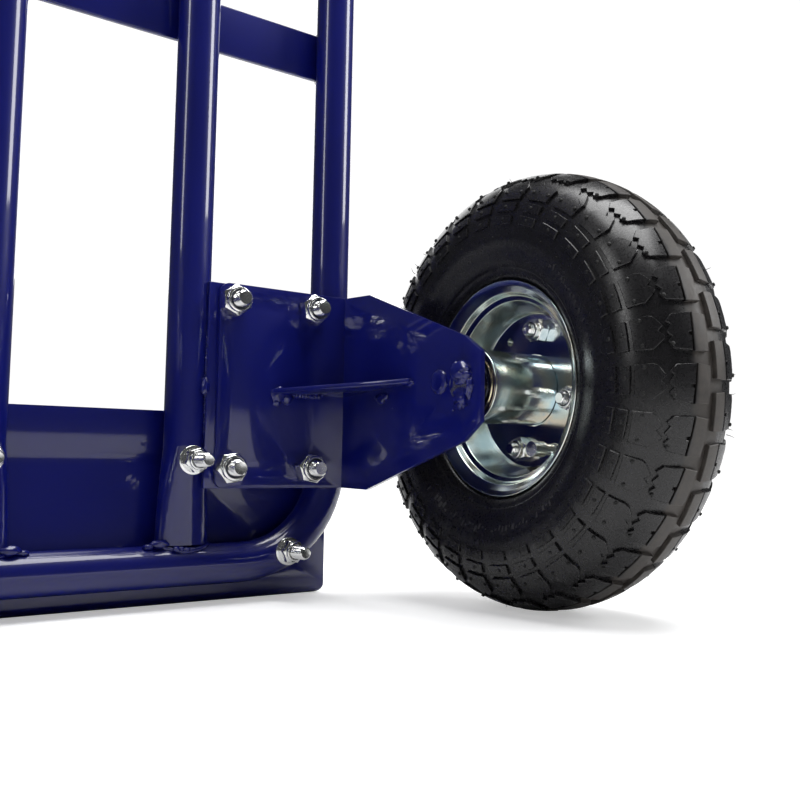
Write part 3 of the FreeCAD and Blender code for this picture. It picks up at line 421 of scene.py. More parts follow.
def pipe_mesh(path, radii, segments):
    """A swept surface along points, with a radius at each; its ends stay open."""
    points, across = [], None
    for i, spot in enumerate(path):
        ahead = (path[min(i + 1, len(path) - 1)] - path[max(i - 1, 0)]).normalized()
        if across is None:
            across = Vector((1, 0, 0)) if abs(ahead.x) < 0.9 else Vector((0, 0, 1))
        across = (across - ahead * across.dot(ahead)).normalized()
        deep = ahead.cross(across)
        for step in range(segments):
            turn = 2 * pi * step / segments
            points.append(spot + across * radii[i] * cos(turn)
                          + deep * radii[i] * sin(turn))
    return points, ring_faces(len(path), segments)


def sheet_parts():
    for side in SIDES:
        soften(f"wheel_bracket_{side}", 0.8)
        soften(f"mounting_plate_{side}", 0.5)
        soften(f"bracket_gusset_{side}", 0.7)
    for name in ("lower", "middle", "upper"):
        soften(f"cross_strap_{name}", 0.8)
    soften("toe_plate", 0.8)


# --- fasteners ---

def hex_radius(turn, flats):
    return flats / 2 / cos((turn + pi / 6) % (pi / 3) - pi / 6)


def hex_solid(shape, matrix, flats, height, bore, top_chamfer=True, turn=0.0):
    """A hexagon along +X with chamfered corners and a bore (0 for none)."""
    segments, slope = 72, tan(radians(30))
    edge = flats / 2 * 0.975
    rise = (flats / 2 / cos(pi / 6) - flats / 2) * slope
    levels = [0.0, rise * 0.35, rise * 0.7, rise * 1.1, height / 2,
              height - rise * 1.1, height - rise * 0.7, height - rise * 0.35, height]
    angles = [2 * pi * step / segments for step in range(segments)]
    points = []
    for x in levels:
        for angle in angles:
            radius = min(hex_radius(angle, flats), edge + x / slope)
            if top_chamfer:
                radius = min(radius, edge + (height - x) / slope)
            points.append(on_circle(x, radius, angle + turn))
    faces = ring_faces(len(levels), segments)
    top = (len(levels) - 1) * segments
    if bore:
        for x, ring in ((height, top), (0.0, 0)):
            base = len(points)
            points += [on_circle(x, bore, angle + turn) for angle in angles]
            for s in range(segments):
                after = (s + 1) % segments
                faces.append((ring + s, ring + after, base + after, base + s))
        start = len(points) - 2 * segments
        faces += [tuple(start + i for i in face) for face in ring_faces(2, segments)]
    else:
        faces.append(tuple(range(top, top + segments)))
        faces.append(tuple(reversed(range(segments))))
    shape.add(points, faces, matrix)


def thread(shape, matrix, start, end, radius, pitch, segments=28):
    """A cut thread on a bar along +X, with a chamfered end face."""
    depth, lead = pitch * 0.38, 1.1
    rows = max(8, int((end - start) / (pitch / 5)))
    points = []
    for row in range(rows + 1):
        x = start + (end - start) * row / rows
        for step in range(segments):
            share = (x / pitch - step / segments) % 1.0
            ridge = 1 - abs(share * 2 - 1) * 1.25
            r = radius - depth * (1 - max(0.0, min(1.0, ridge)))
            r = min(r, radius - lead + (end - x)) if end - x < lead else r
            points.append(on_circle(x, r, 2 * pi * step / segments))
    faces = ring_faces(rows + 1, segments)
    base = len(points)
    points += [(end - 0.25, 0, 0), (start, 0, 0)]
    last = rows * segments
    for step in range(segments):
        faces.append((base, last + step, last + (step + 1) % segments))
        faces.append((base + 1, (step + 1) % segments, step))
    shape.add(points, faces, matrix)


def collar(shape, matrix, start, length, outer, inner, segments=48):
    """The rolled crown of a lock nut."""
    end = start + length
    profile = rounded([(start, outer, 0), (end, outer, 1.1), (end + 0.15, inner, 0.25),
                       (end - 0.8, inner, 0.2), (end - 0.9, outer - 1.0, 0),
                       (start, outer - 1.2, 0)], 4)
    shape.add(*spin(profile, segments), matrix)


def insert(shape, matrix, start, length, outer, inner):
    profile = [(start, outer), (start + length, outer), (start + length, inner), (start, inner)]
    shape.add(*spin(profile, 40), matrix)


def centres(node, axis):
    """The middle of each separate solid in a CAD node, with its extent along an axis."""
    mesh = NODES[node].data
    work = bmesh.new()
    work.from_mesh(mesh)
    bmesh.ops.remove_doubles(work, verts=work.verts, dist=1e-6)
    left, found = set(work.verts), []
    while left:
        stack, seen = [left.pop()], []
        while stack:
            vert = stack.pop()
            seen.append(vert.co / MM)
            for edge in vert.link_edges:
                other = edge.other_vert(vert)
                if other in left:
                    left.discard(other)
                    stack.append(other)
        low = Vector([min(p[i] for p in seen) for i in range(3)])
        high = Vector([max(p[i] for p in seen) for i in range(3)])
        found.append(((low + high) / 2, low[axis], high[axis]))
    work.free()
    return sorted(found, key=lambda f: tuple(round(c, 2) for c in f[0]))


def beside(centre, y):
    """A frame along +Y, at the given height on the line of a solid's middle."""
    return along((0, 1, 0), Vector((centre.x, y, centre.z)))


def bracket_hardware(rng):
    bolts, nuts, inserts = Shape(), Shape(), Shape()
    for centre, low, high in centres("bracket_bolts", 1):
        turn = rng.uniform(0, pi / 3)
        head = beside(centre, low)
        hex_solid(bolts, head, 16.0, 6.4, 0, top_chamfer=False)
        thread(bolts, head, 6.3, high - low, 5.0, 1.5)
        nut = beside(centre, BRACKET_Y + 0.02)
        hex_solid(nuts, nut, 17.0, 7.8, 5.05, turn=turn)
        collar(nuts, nut, 7.3, 3.5, 7.9, 6.3)
        insert(inserts, nut, 7.6, 2.5, 6.9, 5.0)
    bolts.make("bracket_bolts_threaded", [ZINC], "frame", ("bracket_bolts",), "zinc_fasteners")
    nuts.make("bracket_lock_nuts", [ZINC], "frame", ("bracket_nuts",), "zinc_fasteners")
    inserts.make("bracket_nut_inserts", [NYLON], "frame", (), "seal_rubber")


def toe_hardware(rng):
    bolts, nuts, washers = Shape(), Shape(), Shape()
    for centre, low, high in centres("toe_bolts", 1):
        head = beside(centre, low)
        hex_solid(bolts, head, 13.0, 5.3, 0, top_chamfer=False, turn=rng.uniform(0, 1))
        thread(bolts, head, 5.2, high - low - 2.4, 4.1, 1.25)
    for centre, low, high in centres("toe_nuts", 1):
        nut = beside(centre, low)
        hex_solid(nuts, nut, 13.0, high - low, 4.15, turn=rng.uniform(0, 1))
        collar(nuts, nut, high - low - 0.4, 2.6, 5.8, 4.7)
    for centre, low, high in centres("toe_washers", 1):
        thick = high - low
        profile = rounded([(0, 8.8, 0.3), (thick, 8.8, 0.6), (thick, 4.1, 0.2), (0, 4.1, 0.2)], 3)
        washers.add(*spin(profile, 56), beside(centre, low))
    bolts.make("toe_bolts_threaded", [ZINC], "frame", ("toe_bolts",), "zinc_fasteners")
    nuts.make("toe_hex_nuts", [ZINC], "frame", ("toe_nuts",), "zinc_fasteners")
    washers.make("toe_plain_washers", [ZINC], "frame", ("toe_washers",), "zinc_fasteners")


def rim_hardware(side, rng):
    bolts, nuts, inserts = Shape(), Shape(), Shape()
    inward = -SIDES[side]
    for centre, low, high in centres(f"rim_bolts_{side}", 0):
        start = low if inward > 0 else high
        head = along((inward, 0, 0), Vector((start, centre.y, centre.z)))
        hex_solid(bolts, head, 13.0, 5.3, 0, top_chamfer=False, turn=rng.uniform(0, 1))
        thread(bolts, head, 5.2, high - low, 4.0, 1.25)
        web = abs(wheel_centre(side).x + inward * WEB_FACE - start)
        nut = head @ Matrix.Translation((web, 0, 0))
        hex_solid(nuts, nut, 13.0, 6.3, 4.05, turn=rng.uniform(0, 1))
        collar(nuts, nut, 5.9, 2.9, 5.8, 4.6)
        insert(inserts, nut, 6.0, 2.1, 5.0, 4.0)
    body = f"{side}_wheel"
    bolts.make(f"rim_bolts_threaded_{side}", [ZINC], body, (f"rim_bolts_{side}",), "zinc_fasteners")
    nuts.make(f"rim_lock_nuts_{side}", [ZINC], body, (f"rim_nuts_{side}",), "zinc_fasteners")
    inserts.make(f"rim_nut_inserts_{side}", [NYLON], body, (), "seal_rubber")


# --- welds ---

def weld_bead(shape, path, radius, seed, closed=False, ripple=2.4):
    """A lumpy run of weld along points: overlapping scales with a wandering width."""
    fine = []
    count = len(path) if closed else len(path) - 1
    for i in range(count):
        a, b = path[i], path[(i + 1) % len(path)]
        steps = max(1, int((b - a).length / 0.5))
        fine += [a.lerp(b, k / steps) for k in range(steps)]
    if not closed:
        fine.append(path[-1])
    segments, points, travelled = 14, [], 0.0
    total = len(fine)
    for i, spot in enumerate(fine):
        before = fine[i - 1] if closed or i else fine[0]
        after = fine[(i + 1) % total] if closed or i + 1 < total else fine[-1]
        ahead = (after - before).normalized()
        travelled += (spot - before).length if i else 0.0
        upright = abs(ahead.z) > 0.95
        side = (ahead.orthogonal() if upright else ahead.cross(Vector((0, 0, 1)))).normalized()
        up = side.cross(ahead)
        scale = 1 + 0.10 * abs(sin(pi * travelled / ripple)) - 0.05
        scale *= 1 + 0.30 * noise.noise(spot * 0.16 + Vector((seed, 0, 0)))
        if not closed:
            end = min(i, total - 1 - i) / max(1.0, radius / 0.5)
            scale *= sqrt(max(0.02, 1 - (1 - min(1.0, end)) ** 2))
        for step in range(segments):
            turn = 2 * pi * step / segments
            lump = scale * (1 + 0.16 * noise.noise(spot * 0.5 + Vector((seed, turn * 0.6, 3))))
            points.append(spot + side * radius * lump * cos(turn)
                          + up * radius * lump * sin(turn))
    faces = ring_faces(total, segments, closed)
    if not closed:
        faces.append(tuple(range(segments)))
        faces.append(tuple(reversed(range((total - 1) * segments, total * segments))))
    shape.add(points, faces)


def spatter(shape, rng, centre, normal, reach, count, size):
    """Small balls of spatter stuck to a surface near a weld."""
    side = normal.orthogonal().normalized()
    other = normal.cross(side)
    for _ in range(count):
        turn, far = rng.uniform(0, 2 * pi), rng.uniform(0.5, 1.0) * reach
        spot = centre + side * far * cos(turn) + other * far * sin(turn)
        radius = rng.uniform(0.4, 1.0) * size
        profile = [on_circle(0, radius, pi * k / 6)[1:] for k in range(7)]
        shape.add(*capped(profile, 10), along(normal, spot))


def lump(shape, centre, half, seed, rough=0.22):
    """A blob of weld metal: an uneven ball with the given half sizes."""
    rows, around, points = 14, 20, []
    for row in range(rows + 1):
        tilt = pi * row / rows
        for step in range(around):
            turn = 2 * pi * step / around
            flat = sin(tilt)
            out = Vector((flat * cos(turn), flat * sin(turn), cos(tilt)))
            swell = 1 + rough * noise.noise(out * 1.5 + Vector((seed, 0, 0)))
            swell += rough * 0.6 * abs(noise.noise(out * 3.6 + Vector((0, seed, 0))))
            points.append(centre + out * Vector(half) * swell)
    shape.add(points, ring_faces(rows + 1, around))


# lumps of weld metal in millimetres: on the leg (back, down, size), and round the axle's end
# (back, up and three half sizes)
LEG_LUMPS = ((36.9, 3.2, 3.2), (41.0, 1.6, 2.4), (32.4, 2.2, 1.8), (66.5, -4.6, 1.8),
             (69.0, -5.2, 1.4))
AXLE_LUMPS = ((1.2, 7.4, 4.6, 6.6, 5.6), (4.6, 4.6, 5.0, 4.0, 3.8), (-2.2, 9.6, 3.8, 4.0, 3.2),
              (2.4, 1.8, 4.4, 3.4, 2.2), (1.0, -6.2, 3.8, 5.6, 5.6), (-0.6, -10.2, 2.6, 4.0, 3.2),
              (-5.4, 1.0, 2.0, 3.4, 6.0), (7.6, -2.0, 2.2, 2.8, 5.0))
TUBE_OUTSIDE = 12.5     # the rail's radius, which the feet's weld follows down


def rail_weld(shape, foot, sign, rng):
    """The ring round a flattened foot, two blobs on it and a row of drops below."""
    ring = [foot + Vector((FOOT_HALF * cos(turn), 9.0 * sin(turn), 0.4))
            for turn in (2 * pi * k / 60 for k in range(60))]
    drop = []
    for p in ring:
        down = TUBE_OUTSIDE - sqrt(max(0.0, TUBE_OUTSIDE ** 2 - (p.y - TUBE_Y) ** 2))
        drop.append(p - Vector((0, 0, down)))
    weld_bead(shape, drop, 1.5, 11 + sign, closed=True, ripple=1.7)
    lump(shape, foot + Vector((-sign * 16, 6.5, 1.2)), (5.2, 3.4, 2.6), 3 + sign, 0.3)
    lump(shape, foot + Vector((-sign * 22, 5.5, -0.2)), (3.4, 2.6, 1.6), 4 + sign, 0.3)
    for k in range(7):
        spot = foot + Vector((sign * (-7 + 3.3 * k), 9.6 - 0.12 * k * k, -1.6 - 0.2 * k))
        lump(shape, spot, (rng.uniform(1.4, 2.2), 1.5, rng.uniform(1.1, 1.7)), k + sign, 0.3)


def plate_weld(shape, sign, rng):
    """A chain of scales down the plate's inner edge and three beads on its outer one."""
    edge = sign * (PLATE_EDGE + 0.2)
    spot = Vector((edge - sign * 0.6, PLATE_LOW.y + 1.6, 132))
    lump(shape, spot, (2.6, 3.0, 5.4), 7 + sign, 0.35)
    for k in range(30):
        size = rng.uniform(0.5, 0.95)
        spot = Vector((edge, PLATE_LOW.y + 0.9, 104 + 2.05 * k))
        lump(shape, spot, (size, size, rng.uniform(0.7, 1.2)), k, 0.2)
    foot, head = BRACKET_LOW.z, BRACKET_HIGH.z
    for low, high in ((foot + 4, foot + 16), (127, 139), (head - 17, head - 4)):
        run = [Vector((sign * (PLATE_FAR + 0.8), PLATE_LOW.y + 1.0, low + (high - low) * k / 6))
               for k in range(7)]
        weld_bead(shape, run, 2.0, low * 0.3 + sign)


def gusset_weld(shape, leg, sign):
    tip = Vector((sign * 111.0, BRACKET_Y, 127.8))
    lump(shape, tip + Vector((-sign * 2.2, 0.6, 1.4)), (4.6, 2.4, 4.6), 31 + sign, 0.3)
    lump(shape, tip + Vector((sign * 3.6, 0.8, -0.8)), (4.0, 2.6, 3.4), 32 + sign, 0.35)
    lump(shape, tip + Vector((-sign * 3.4, 0.2, -3.8)), (2.6, 1.6, 2.6), 33 + sign, 0.3)
    for k in range(9):
        spot = tip + Vector((sign * (8 + 2.3 * k), 0.5, GUSSET_LOW.z - tip.z - 0.6))
        lump(shape, spot, (1.7, 1.3, 1.4), 60 + k, 0.25)
    for back, down, size in LEG_LUMPS:
        half = (size * 0.8, size * 1.35, size)
        lump(shape, leg + Vector((0, back, -down)), half, back + sign, 0.3)


def welds(rng):
    rail, plates, gussets, axles, straps = Shape(), Shape(), Shape(), Shape(), Shape()
    for sign in SIDES.values():
        foot = Vector((sign * INNER_X, TUBE_Y, LOOP_LOW.z))
        leg = Vector((sign * (LEG_X - 0.4), 0, GUSSET_LOW.z))
        hub = Vector((sign * (LEG_X - 0.2), AXLE_Y, AXLE_Z))
        rail_weld(rail, foot, sign, rng)
        plate_weld(plates, sign, rng)
        gusset_weld(gussets, leg, sign)
        lump(axles, hub, (1.5, 9.0, 9.6), 50 + sign, 0.10)
        for back, up, deep, wide, tall in AXLE_LUMPS:
            spot = hub + Vector((-sign * 0.5, back, up))
            lump(axles, spot, (deep, wide, tall), up + back + sign, 0.5)
        inboard = Vector((-sign, 0, 0))
        spatter(axles, rng, hub, inboard, 17, 9, 0.8)
        spatter(gussets, rng, leg + Vector((0, 38, -2)), inboard, 14, 4, 0.6)
        spatter(rail, rng, foot + Vector((0, 9.2, 6)), Vector((0, 1, 0)), 9, 4, 0.6)
        for low, high in STRAP:
            for edge, lift in ((low.z, -0.4), (high.z, 0.4)):
                for across in (INNER_X, OUTER_X):
                    run = [Vector((sign * across + k, high.y - 1.2, edge + lift))
                           for k in range(-7, 8)]
                    weld_bead(straps, run, 2.3, across + edge)
    for shape, name in ((rail, "rail_welds"), (plates, "plate_welds"), (gussets, "gusset_welds"),
                        (axles, "axle_welds"), (straps, "strap_welds")):
        shape.make(f"{name}_beads", [PAINT], "frame", (name,), "blue_paint", sharp=60)


def rivets():
    """The button heads: low discs with a bevelled rim and a shallow step inside it."""
    shape = Shape()
    bottom, top = span("bracket_rivets")
    radius = (top.z - bottom.z) / 2
    profile = [(0, 0), (0, radius), (0.8, radius), (1.5, radius - 0.5), (2.1, radius - 1.7),
               (2.35, radius - 2.2), (2.2, radius - 2.7), (2.3, 0)]
    for centre, low, high in centres("bracket_rivets", 0):
        inward = 1 if centre.x < 0 else -1
        place = along((inward, 0, 0), Vector((low if inward > 0 else high, centre.y, centre.z)))
        shape.add(*capped(profile, 56), place)
    shape.make("rivet_heads", [PAINT], "frame", ("bracket_rivets",), "blue_paint", sharp=24)


# --- wheels ---

TYRE_R = AXLE_Z
HALF_WIDTH = 41.2
HALF_HEIGHT = 37.0
SECTION_R = TYRE_R - HALF_HEIGHT
PITCHES = 30
PITCH = 360 / PITCHES
SKEW = 140.8            # where one inboard column of blocks starts, in degrees


def crown_profile():
    """Half the tyre's section: arc length from the crown's middle, (x, radius), normal."""
    power, steps = 2.1, 600
    spots = []
    for k in range(steps + 1):
        turn = radians(128) * k / steps
        c, s = cos(turn), sin(turn)
        x = HALF_WIDTH * abs(s) ** (2 / power)
        r = SECTION_R + HALF_HEIGHT * copysign(abs(c) ** (2 / power), c)
        spots.append(Vector((x, r)))
    table, length = [], 0.0
    for i, spot in enumerate(spots):
        length += (spot - spots[i - 1]).length if i else 0.0
        ahead = spots[min(i + 1, steps)] - spots[max(i - 1, 0)]
        table.append((length, spot, Vector((-ahead.y, ahead.x)).normalized()))
    return table


CROWN = crown_profile()


def on_crown(v):
    """(x, radius) and normal at a signed arc length from the crown's centre."""
    reach = abs(v)
    low, high = 0, len(CROWN) - 1
    while high - low > 1:
        middle = (low + high) // 2
        if CROWN[middle][0] <= reach:
            low = middle
        else:
            high = middle
    share = (reach - CROWN[low][0]) / max(1e-9, CROWN[high][0] - CROWN[low][0])
    spot = CROWN[low][1].lerp(CROWN[high][1], share)
    out = CROWN[low][2].lerp(CROWN[high][2], share)
    sign = 1 if v >= 0 else -1
    return Vector((spot.x * sign, spot.y)), Vector((out.x * sign, out.y)).normalized()


def ease(value, low, high):
    t = max(0.0, min(1.0, (value - low) / (high - low)))
    return t * t * (3 - 2 * t)


def relief(v):
    """How far the grooves' floor lies below the blocks' tops."""
    reach = abs(v)
    return (2.6 - 0.9 * ease(reach, 12, 24) - 0.1 * ease(reach, 30, 46) - 0.2 * ease(reach, 48, 54)
            - 0.4 * ease(reach, 54, 62) - 0.9 * ease(reach, 62, 70))


def wheel_point(v, turn, lift):
    """A point on the tyre: arc length across, angle around in degrees, height over the tops."""
    spot, out = on_crown(v)
    spot = spot + out * lift
    angle = radians(turn)
    return Vector((spot.x, -spot.y * cos(angle), spot.y * sin(angle)))


BLOCKS = [
    # outlines as (degrees around, arc length across), from the sidewall to the crown
    [(0.4, 55.9), (8.3, 55.9), (8.3, 61.0), (0.4, 61.0)],
    [(0.6, 47.6), (8.6, 47.8), (8.6, 53.3), (0.6, 53.3)],
    [(0.6, 45.4), (0.4, 35.6), (0.9, 32.9), (3.4, 28.9), (4.5, 31.7), (5.8, 28.5), (6.4, 28.5),
     (9.0, 35.1), (8.9, 45.0)],
    [(0.3, 12.1), (0.6, 21.1), (0.6, 23.5), (2.3, 27.0), (3.2, 24.6), (4.9, 27.2), (6.1, 24.6),
     (7.2, 26.8), (9.0, 23.9), (9.3, 15.0), (9.4, 13.8), (5.9, 13.3), (5.8, 14.9), (5.1, 14.9),
     (5.0, 12.9)],
    [(0.3, 11.0), (0.7, 2.2), (9.4, 2.9), (9.5, 12.6), (5.5, 12.1), (5.2, 11.9)],
]
NUB_RADIUS = 1.15
# vent nubs, (degrees around, arc length across, height)
NUBS = [(4.0, 58.4, 0.4), (4.1, 50.5, 0.6), (1.4, 40.1, 0.9), (7.9, 40.4, 0.9), (7.9, 24.9, 1.0)]


CHAMFER = 0.28          # on the blocks' top edges


def inset_loop(loop, amount):
    """Move each corner of a counter-clockwise loop inward."""
    moved = []
    for i, here in enumerate(loop):
        a = (here - loop[i - 1]).normalized()
        b = (loop[(i + 1) % len(loop)] - here).normalized()
        inward = Vector((-a.y - b.y, a.x + b.x)) if (a + b).length > 1e-6 else Vector((-a.y, a.x))
        inward = inward.normalized()
        reach = amount / max(0.45, inward.dot(Vector((-a.y, a.x))))
        moved.append(here + inward * reach)
    return moved


def edge_gap(spot, a, b):
    """How far a spot lies from the edge between two corners."""
    foot, share = geometry.intersect_point_line(spot, a, b)
    if 0 <= share <= 1:
        return (foot.to_2d() - spot).length
    return min((a - spot).length, (b - spot).length)


def block_pattern(outline):
    """One block's rings and the triangles of its top, in (degrees, arc length)."""
    middle_v = sum(p[1] for p in outline) / len(outline)
    per_degree = radians(1) * on_crown(middle_v)[0].y
    loop = [Vector((t * per_degree, v)) for t, v in outline]
    area = sum(a.x * b.y - a.y * b.x for a, b in zip(loop, loop[1:] + loop[:1]))
    if area < 0:
        loop.reverse()
    fine = []
    for a, b in zip(loop, loop[1:] + loop[:1]):
        steps = max(1, ceil((b - a).length / 3.2))
        fine += [a.lerp(b, k / steps) for k in range(steps)]
    top = inset_loop(fine, CHAMFER)
    low = Vector((min(p.x for p in top), min(p.y for p in top)))
    high = Vector((max(p.x for p in top), max(p.y for p in top)))
    inside, cell = [], 3.0
    for i in range(1, int((high.x - low.x) / cell) + 1):
        for j in range(1, int((high.y - low.y) / cell) + 1):
            spot = low + Vector((i * cell, j * cell))
            gap = min(edge_gap(spot, a, b) for a, b in zip(top, top[1:] + top[:1]))
            if gap > 1.0 and winds(top, spot):
                inside.append(spot)
    count = len(top)
    edges = [(i, (i + 1) % count) for i in range(count)]
    verts, _, triangles, _, _, _ = geometry.delaunay_2d_cdt(
        top + inside, edges, [list(range(count))], 1, 1e-5)
    rings = [[(p.x / per_degree, p.y) for p in ring] for ring in (fine, verts)]
    return rings[0], rings[1], triangles


def winds(loop, spot):
    """Whether a spot lies inside a loop."""
    inside = False
    for a, b in zip(loop, loop[1:] + loop[:1]):
        if (a.y > spot.y) != (b.y > spot.y):
            if spot.x < (b.x - a.x) * (spot.y - a.y) / (b.y - a.y) + a.x:
                inside = not inside
    return inside


def lay_block(shape, pattern, start, sign):
    """A tread block: walls from under the skin, a chamfer and the top."""
    outline, verts, triangles = pattern
    count = len(outline)
    rim = min(CHAMFER, 0.6 * relief(sum(v for _, v in outline) / count))
    points = [wheel_point(sign * v, start + t, -relief(v) - 0.5) for t, v in outline]
    points += [wheel_point(sign * v, start + t, -rim) for t, v in outline]
    points += [wheel_point(sign * v, start + t, 0.0) for t, v in verts]
    faces = []
    for i in range(count):
        j = (i + 1) % count
        faces.append((i, j, count + j, count + i))
        faces.append((count + i, count + j, 2 * count + j, 2 * count + i))
    faces += [tuple(2 * count + i for i in triangle) for triangle in triangles]
    if sign < 0:
        faces = [tuple(reversed(face)) for face in faces]
    shape.add(points, faces)


def lay_nub(shape, v, turn, radius, height):
    """A vent nub: a small round post with a domed end."""
    foot = wheel_point(v, turn, -0.4)
    tip = wheel_point(v, turn, 1.0)
    profile = [(0, 0), (0, radius), (height + 0.1, radius * 0.9), (height + 0.4, radius * 0.55),
               (height + 0.5, 0)]
    shape.add(*capped(profile, 12), along((tip - foot).normalized(), foot), 1)


def lay_mark(shape, v, turn, wide, tall):
    """A small raised bar moulded into the sidewall."""
    points = [wheel_point(v + up * tall / 2, turn + side * wide / 2, lift)
              for lift in (-0.5, 0.3) for side, up in ((-1, -1), (1, -1), (1, 1), (-1, 1))]
    shape.add(points, [(3, 2, 1, 0), (4, 5, 6, 7), (0, 1, 5, 4), (1, 2, 6, 5), (2, 3, 7, 6),
                       (3, 0, 4, 7)], slot=2)


def hair(shape, v, turn, length, rng):
    """A thin whisker of flash left by a mould vent."""
    foot, tip = wheel_point(v, turn, -0.3), wheel_point(v, turn, 1.0)
    out = (tip - foot).normalized()
    lean = Vector((rng.uniform(-1, 1), rng.uniform(-1, 1), rng.uniform(-1, 1)))
    path = [foot + out * length * k / 6 + lean * length * 0.35 * (k / 6) ** 2 for k in range(7)]
    points, faces = pipe_mesh(path, [0.22 - 0.02 * k for k in range(7)], 5)
    shape.add(points, faces + [(0, 1, 2, 3, 4), (34, 33, 32, 31, 30)])


def tyre_section():
    """The moulded carcass: outer skin under the blocks, beads in the rim, and the air side."""
    skin = []
    for v in range(-78, 79, 2):
        spot, out = on_crown(v)
        skin.append(spot - out * relief(v))
    heel = [(36.9, 76.2), (35.6, 72.6), (35.5, 70.9), (34.6, 69.9), (34.5, 68.4), (33.9, 67.4),
            (33.2, 65.8), (31.6, 64.9), (30.4, 64.3), (29.6, 62.2), (28.4, 60.6), (26.8, 58.9),
            (25.2, 58.2), (20.6, 58.1)]
    cavity = [(22.0, 62.0), (27.4, 68.0), (32.0, 78.0), (33.6, 89.0), (31.0, 101.0),
              (26.0, 109.0), (18.0, 113.6), (8.0, 115.4)]
    loop = [(-x, r) for x, r in reversed(heel)]
    loop += [(p.x, p.y) for p in skin if p.y > 77.5]
    loop += heel + cavity + [(-x, r) for x, r in reversed(cavity)]
    return loop


MARK_ARCS = ((228, 318, 74.0), (128, 172, 75.0))    # (from, to) degrees and arc length across
MARK_STEP = 2.1


def tyre(side, rng):
    shape = Shape().add(*spin(tyre_section(), 240))
    patterns = [block_pattern(outline) for outline in BLOCKS]
    for sign, phase in ((1, 0.0), (-1, PITCH / 2)):
        for step in range(PITCHES):
            start = SKEW + phase + step * PITCH
            for pattern in patterns:
                lay_block(shape, pattern, start, sign)
            for t, v, height in NUBS:
                lay_nub(shape, sign * v, start + t, NUB_RADIUS, height)
        for _ in range(60):
            lay_nub(shape, sign * rng.uniform(66, 80), rng.uniform(0, 360),
                    rng.uniform(0.4, 0.8), rng.uniform(0.1, 0.4))
        for _ in range(20):
            hair(shape, sign * rng.uniform(26, 46), rng.uniform(0, 360), rng.uniform(2.5, 5.0), rng)
        for first, last, middle in MARK_ARCS:
            for k in range(int((last - first) / MARK_STEP)):
                if rng.random() < 0.8:
                    lay_mark(shape, sign * (middle + rng.choice((-0.9, 0, 0.9))),
                             first + MARK_STEP * k, rng.uniform(0.35, 1.3),
                             rng.choice((1.0, 3.2, 3.2)))
    matrix = wheel_matrix(side)
    shape.points = [matrix @ p for p in shape.points]
    shape.make(f"treaded_tyre_{side}", [TYRE, NUB, MARK], f"{side}_wheel", (f"tyre_{side}",),
               "tyre_rubber", sharp=38)


RIM_SHEET = 2.0


def rim_profile(direction):
    """A pressed half in section, (along the axle, radius), dish side first."""
    web = WEB_FACE if direction > 0 else WEB_FACE - 2 * RIM_SHEET
    joint = WEB_FACE - RIM_SHEET
    d = direction
    dish = [
        (web, 21.8, 0), (web, 46.4, 1.2), (web + d * 2.2, 47.6, 1.2), (d * 23.6, 52.4, 1.2),
        (d * 24.6, 55.2, 1.6), (d * 28.6, 56.6, 2.6), (d * 31.2, 60.4, 2.4), (d * 32.6, 63.2, 0.5),
        (d * 31.9, 63.8, 0.4),
    ]
    back = [
        (d * 30.4, 63.2, 0.4), (d * 29.2, 61.0, 2.0), (d * 27.4, 58.6, 2.0), (d * 23.2, 57.2, 2.0),
        (d * 22.2, 54.6, 1.0), (joint + d * 2.4, 49.3, 2.0), (joint, 46.8, 1.5), (joint, 21.8, 0),
    ]
    return rounded(dish + back, 6)


def rim_half(side, label, direction):
    shape = Shape()
    shape.add(*spin(rim_profile(direction), 160), wheel_matrix(side))
    return shape.make(f"pressed_{label}_{side}", [RIM], f"{side}_wheel", (f"{label}_{side}",),
                      "zinc_rim", sharp=50)


def drill(piece, matrix, radius, length):
    """Cut a round hole through a piece."""
    cutter = Shape()
    cutter.add(*capped([(0, 0), (0, radius), (length, radius), (length, 0)], 32), matrix)
    mesh = bpy.data.meshes.new("cutter")
    mesh.from_pydata([p * MM for p in cutter.points], [], cutter.faces)
    tool = bpy.data.objects.new("cutter", mesh)
    put(tool)
    modifier = piece.modifiers.new("hole", "BOOLEAN")
    modifier.operation = "DIFFERENCE"
    modifier.solver = "EXACT"
    modifier.object = tool
    bpy.context.view_layer.update()
    shown = piece.evaluated_get(bpy.context.evaluated_depsgraph_get())
    done = bpy.data.meshes.new_from_object(shown)
    piece.modifiers.clear()
    piece.data = done
    bpy.data.objects.remove(tool)
    done.set_sharp_from_angle(angle=radians(50))


def hub_ends(side):
    """Where the hub tube's outboard and inboard ends are, along the wheel's own X."""
    return sorted((p.x - wheel_centre(side).x) * -SIDES[side] for p in span(f"hub_tube_{side}"))


def hub(side):
    """The hub tube with its rolled ends."""
    shape = Shape()
    out_end, in_end = hub_ends(side)
    profile = rounded([
        (out_end, 21.3, 0.7), (in_end, 21.3, 0.9), (in_end, 20.05, 0.25), (in_end - 12.4, 20.05, 0),
        (in_end - 12.4, 19, 0), (out_end + 12.4, 19, 0), (out_end + 12.4, 20.05, 0),
        (out_end, 20.05, 0.25),
    ], 4)
    shape.add(*spin(profile, 96), wheel_matrix(side))
    shape.make(f"hub_finished_{side}", [RIM], f"{side}_wheel", (f"hub_tube_{side}",),
               "zinc_rim", sharp=45)


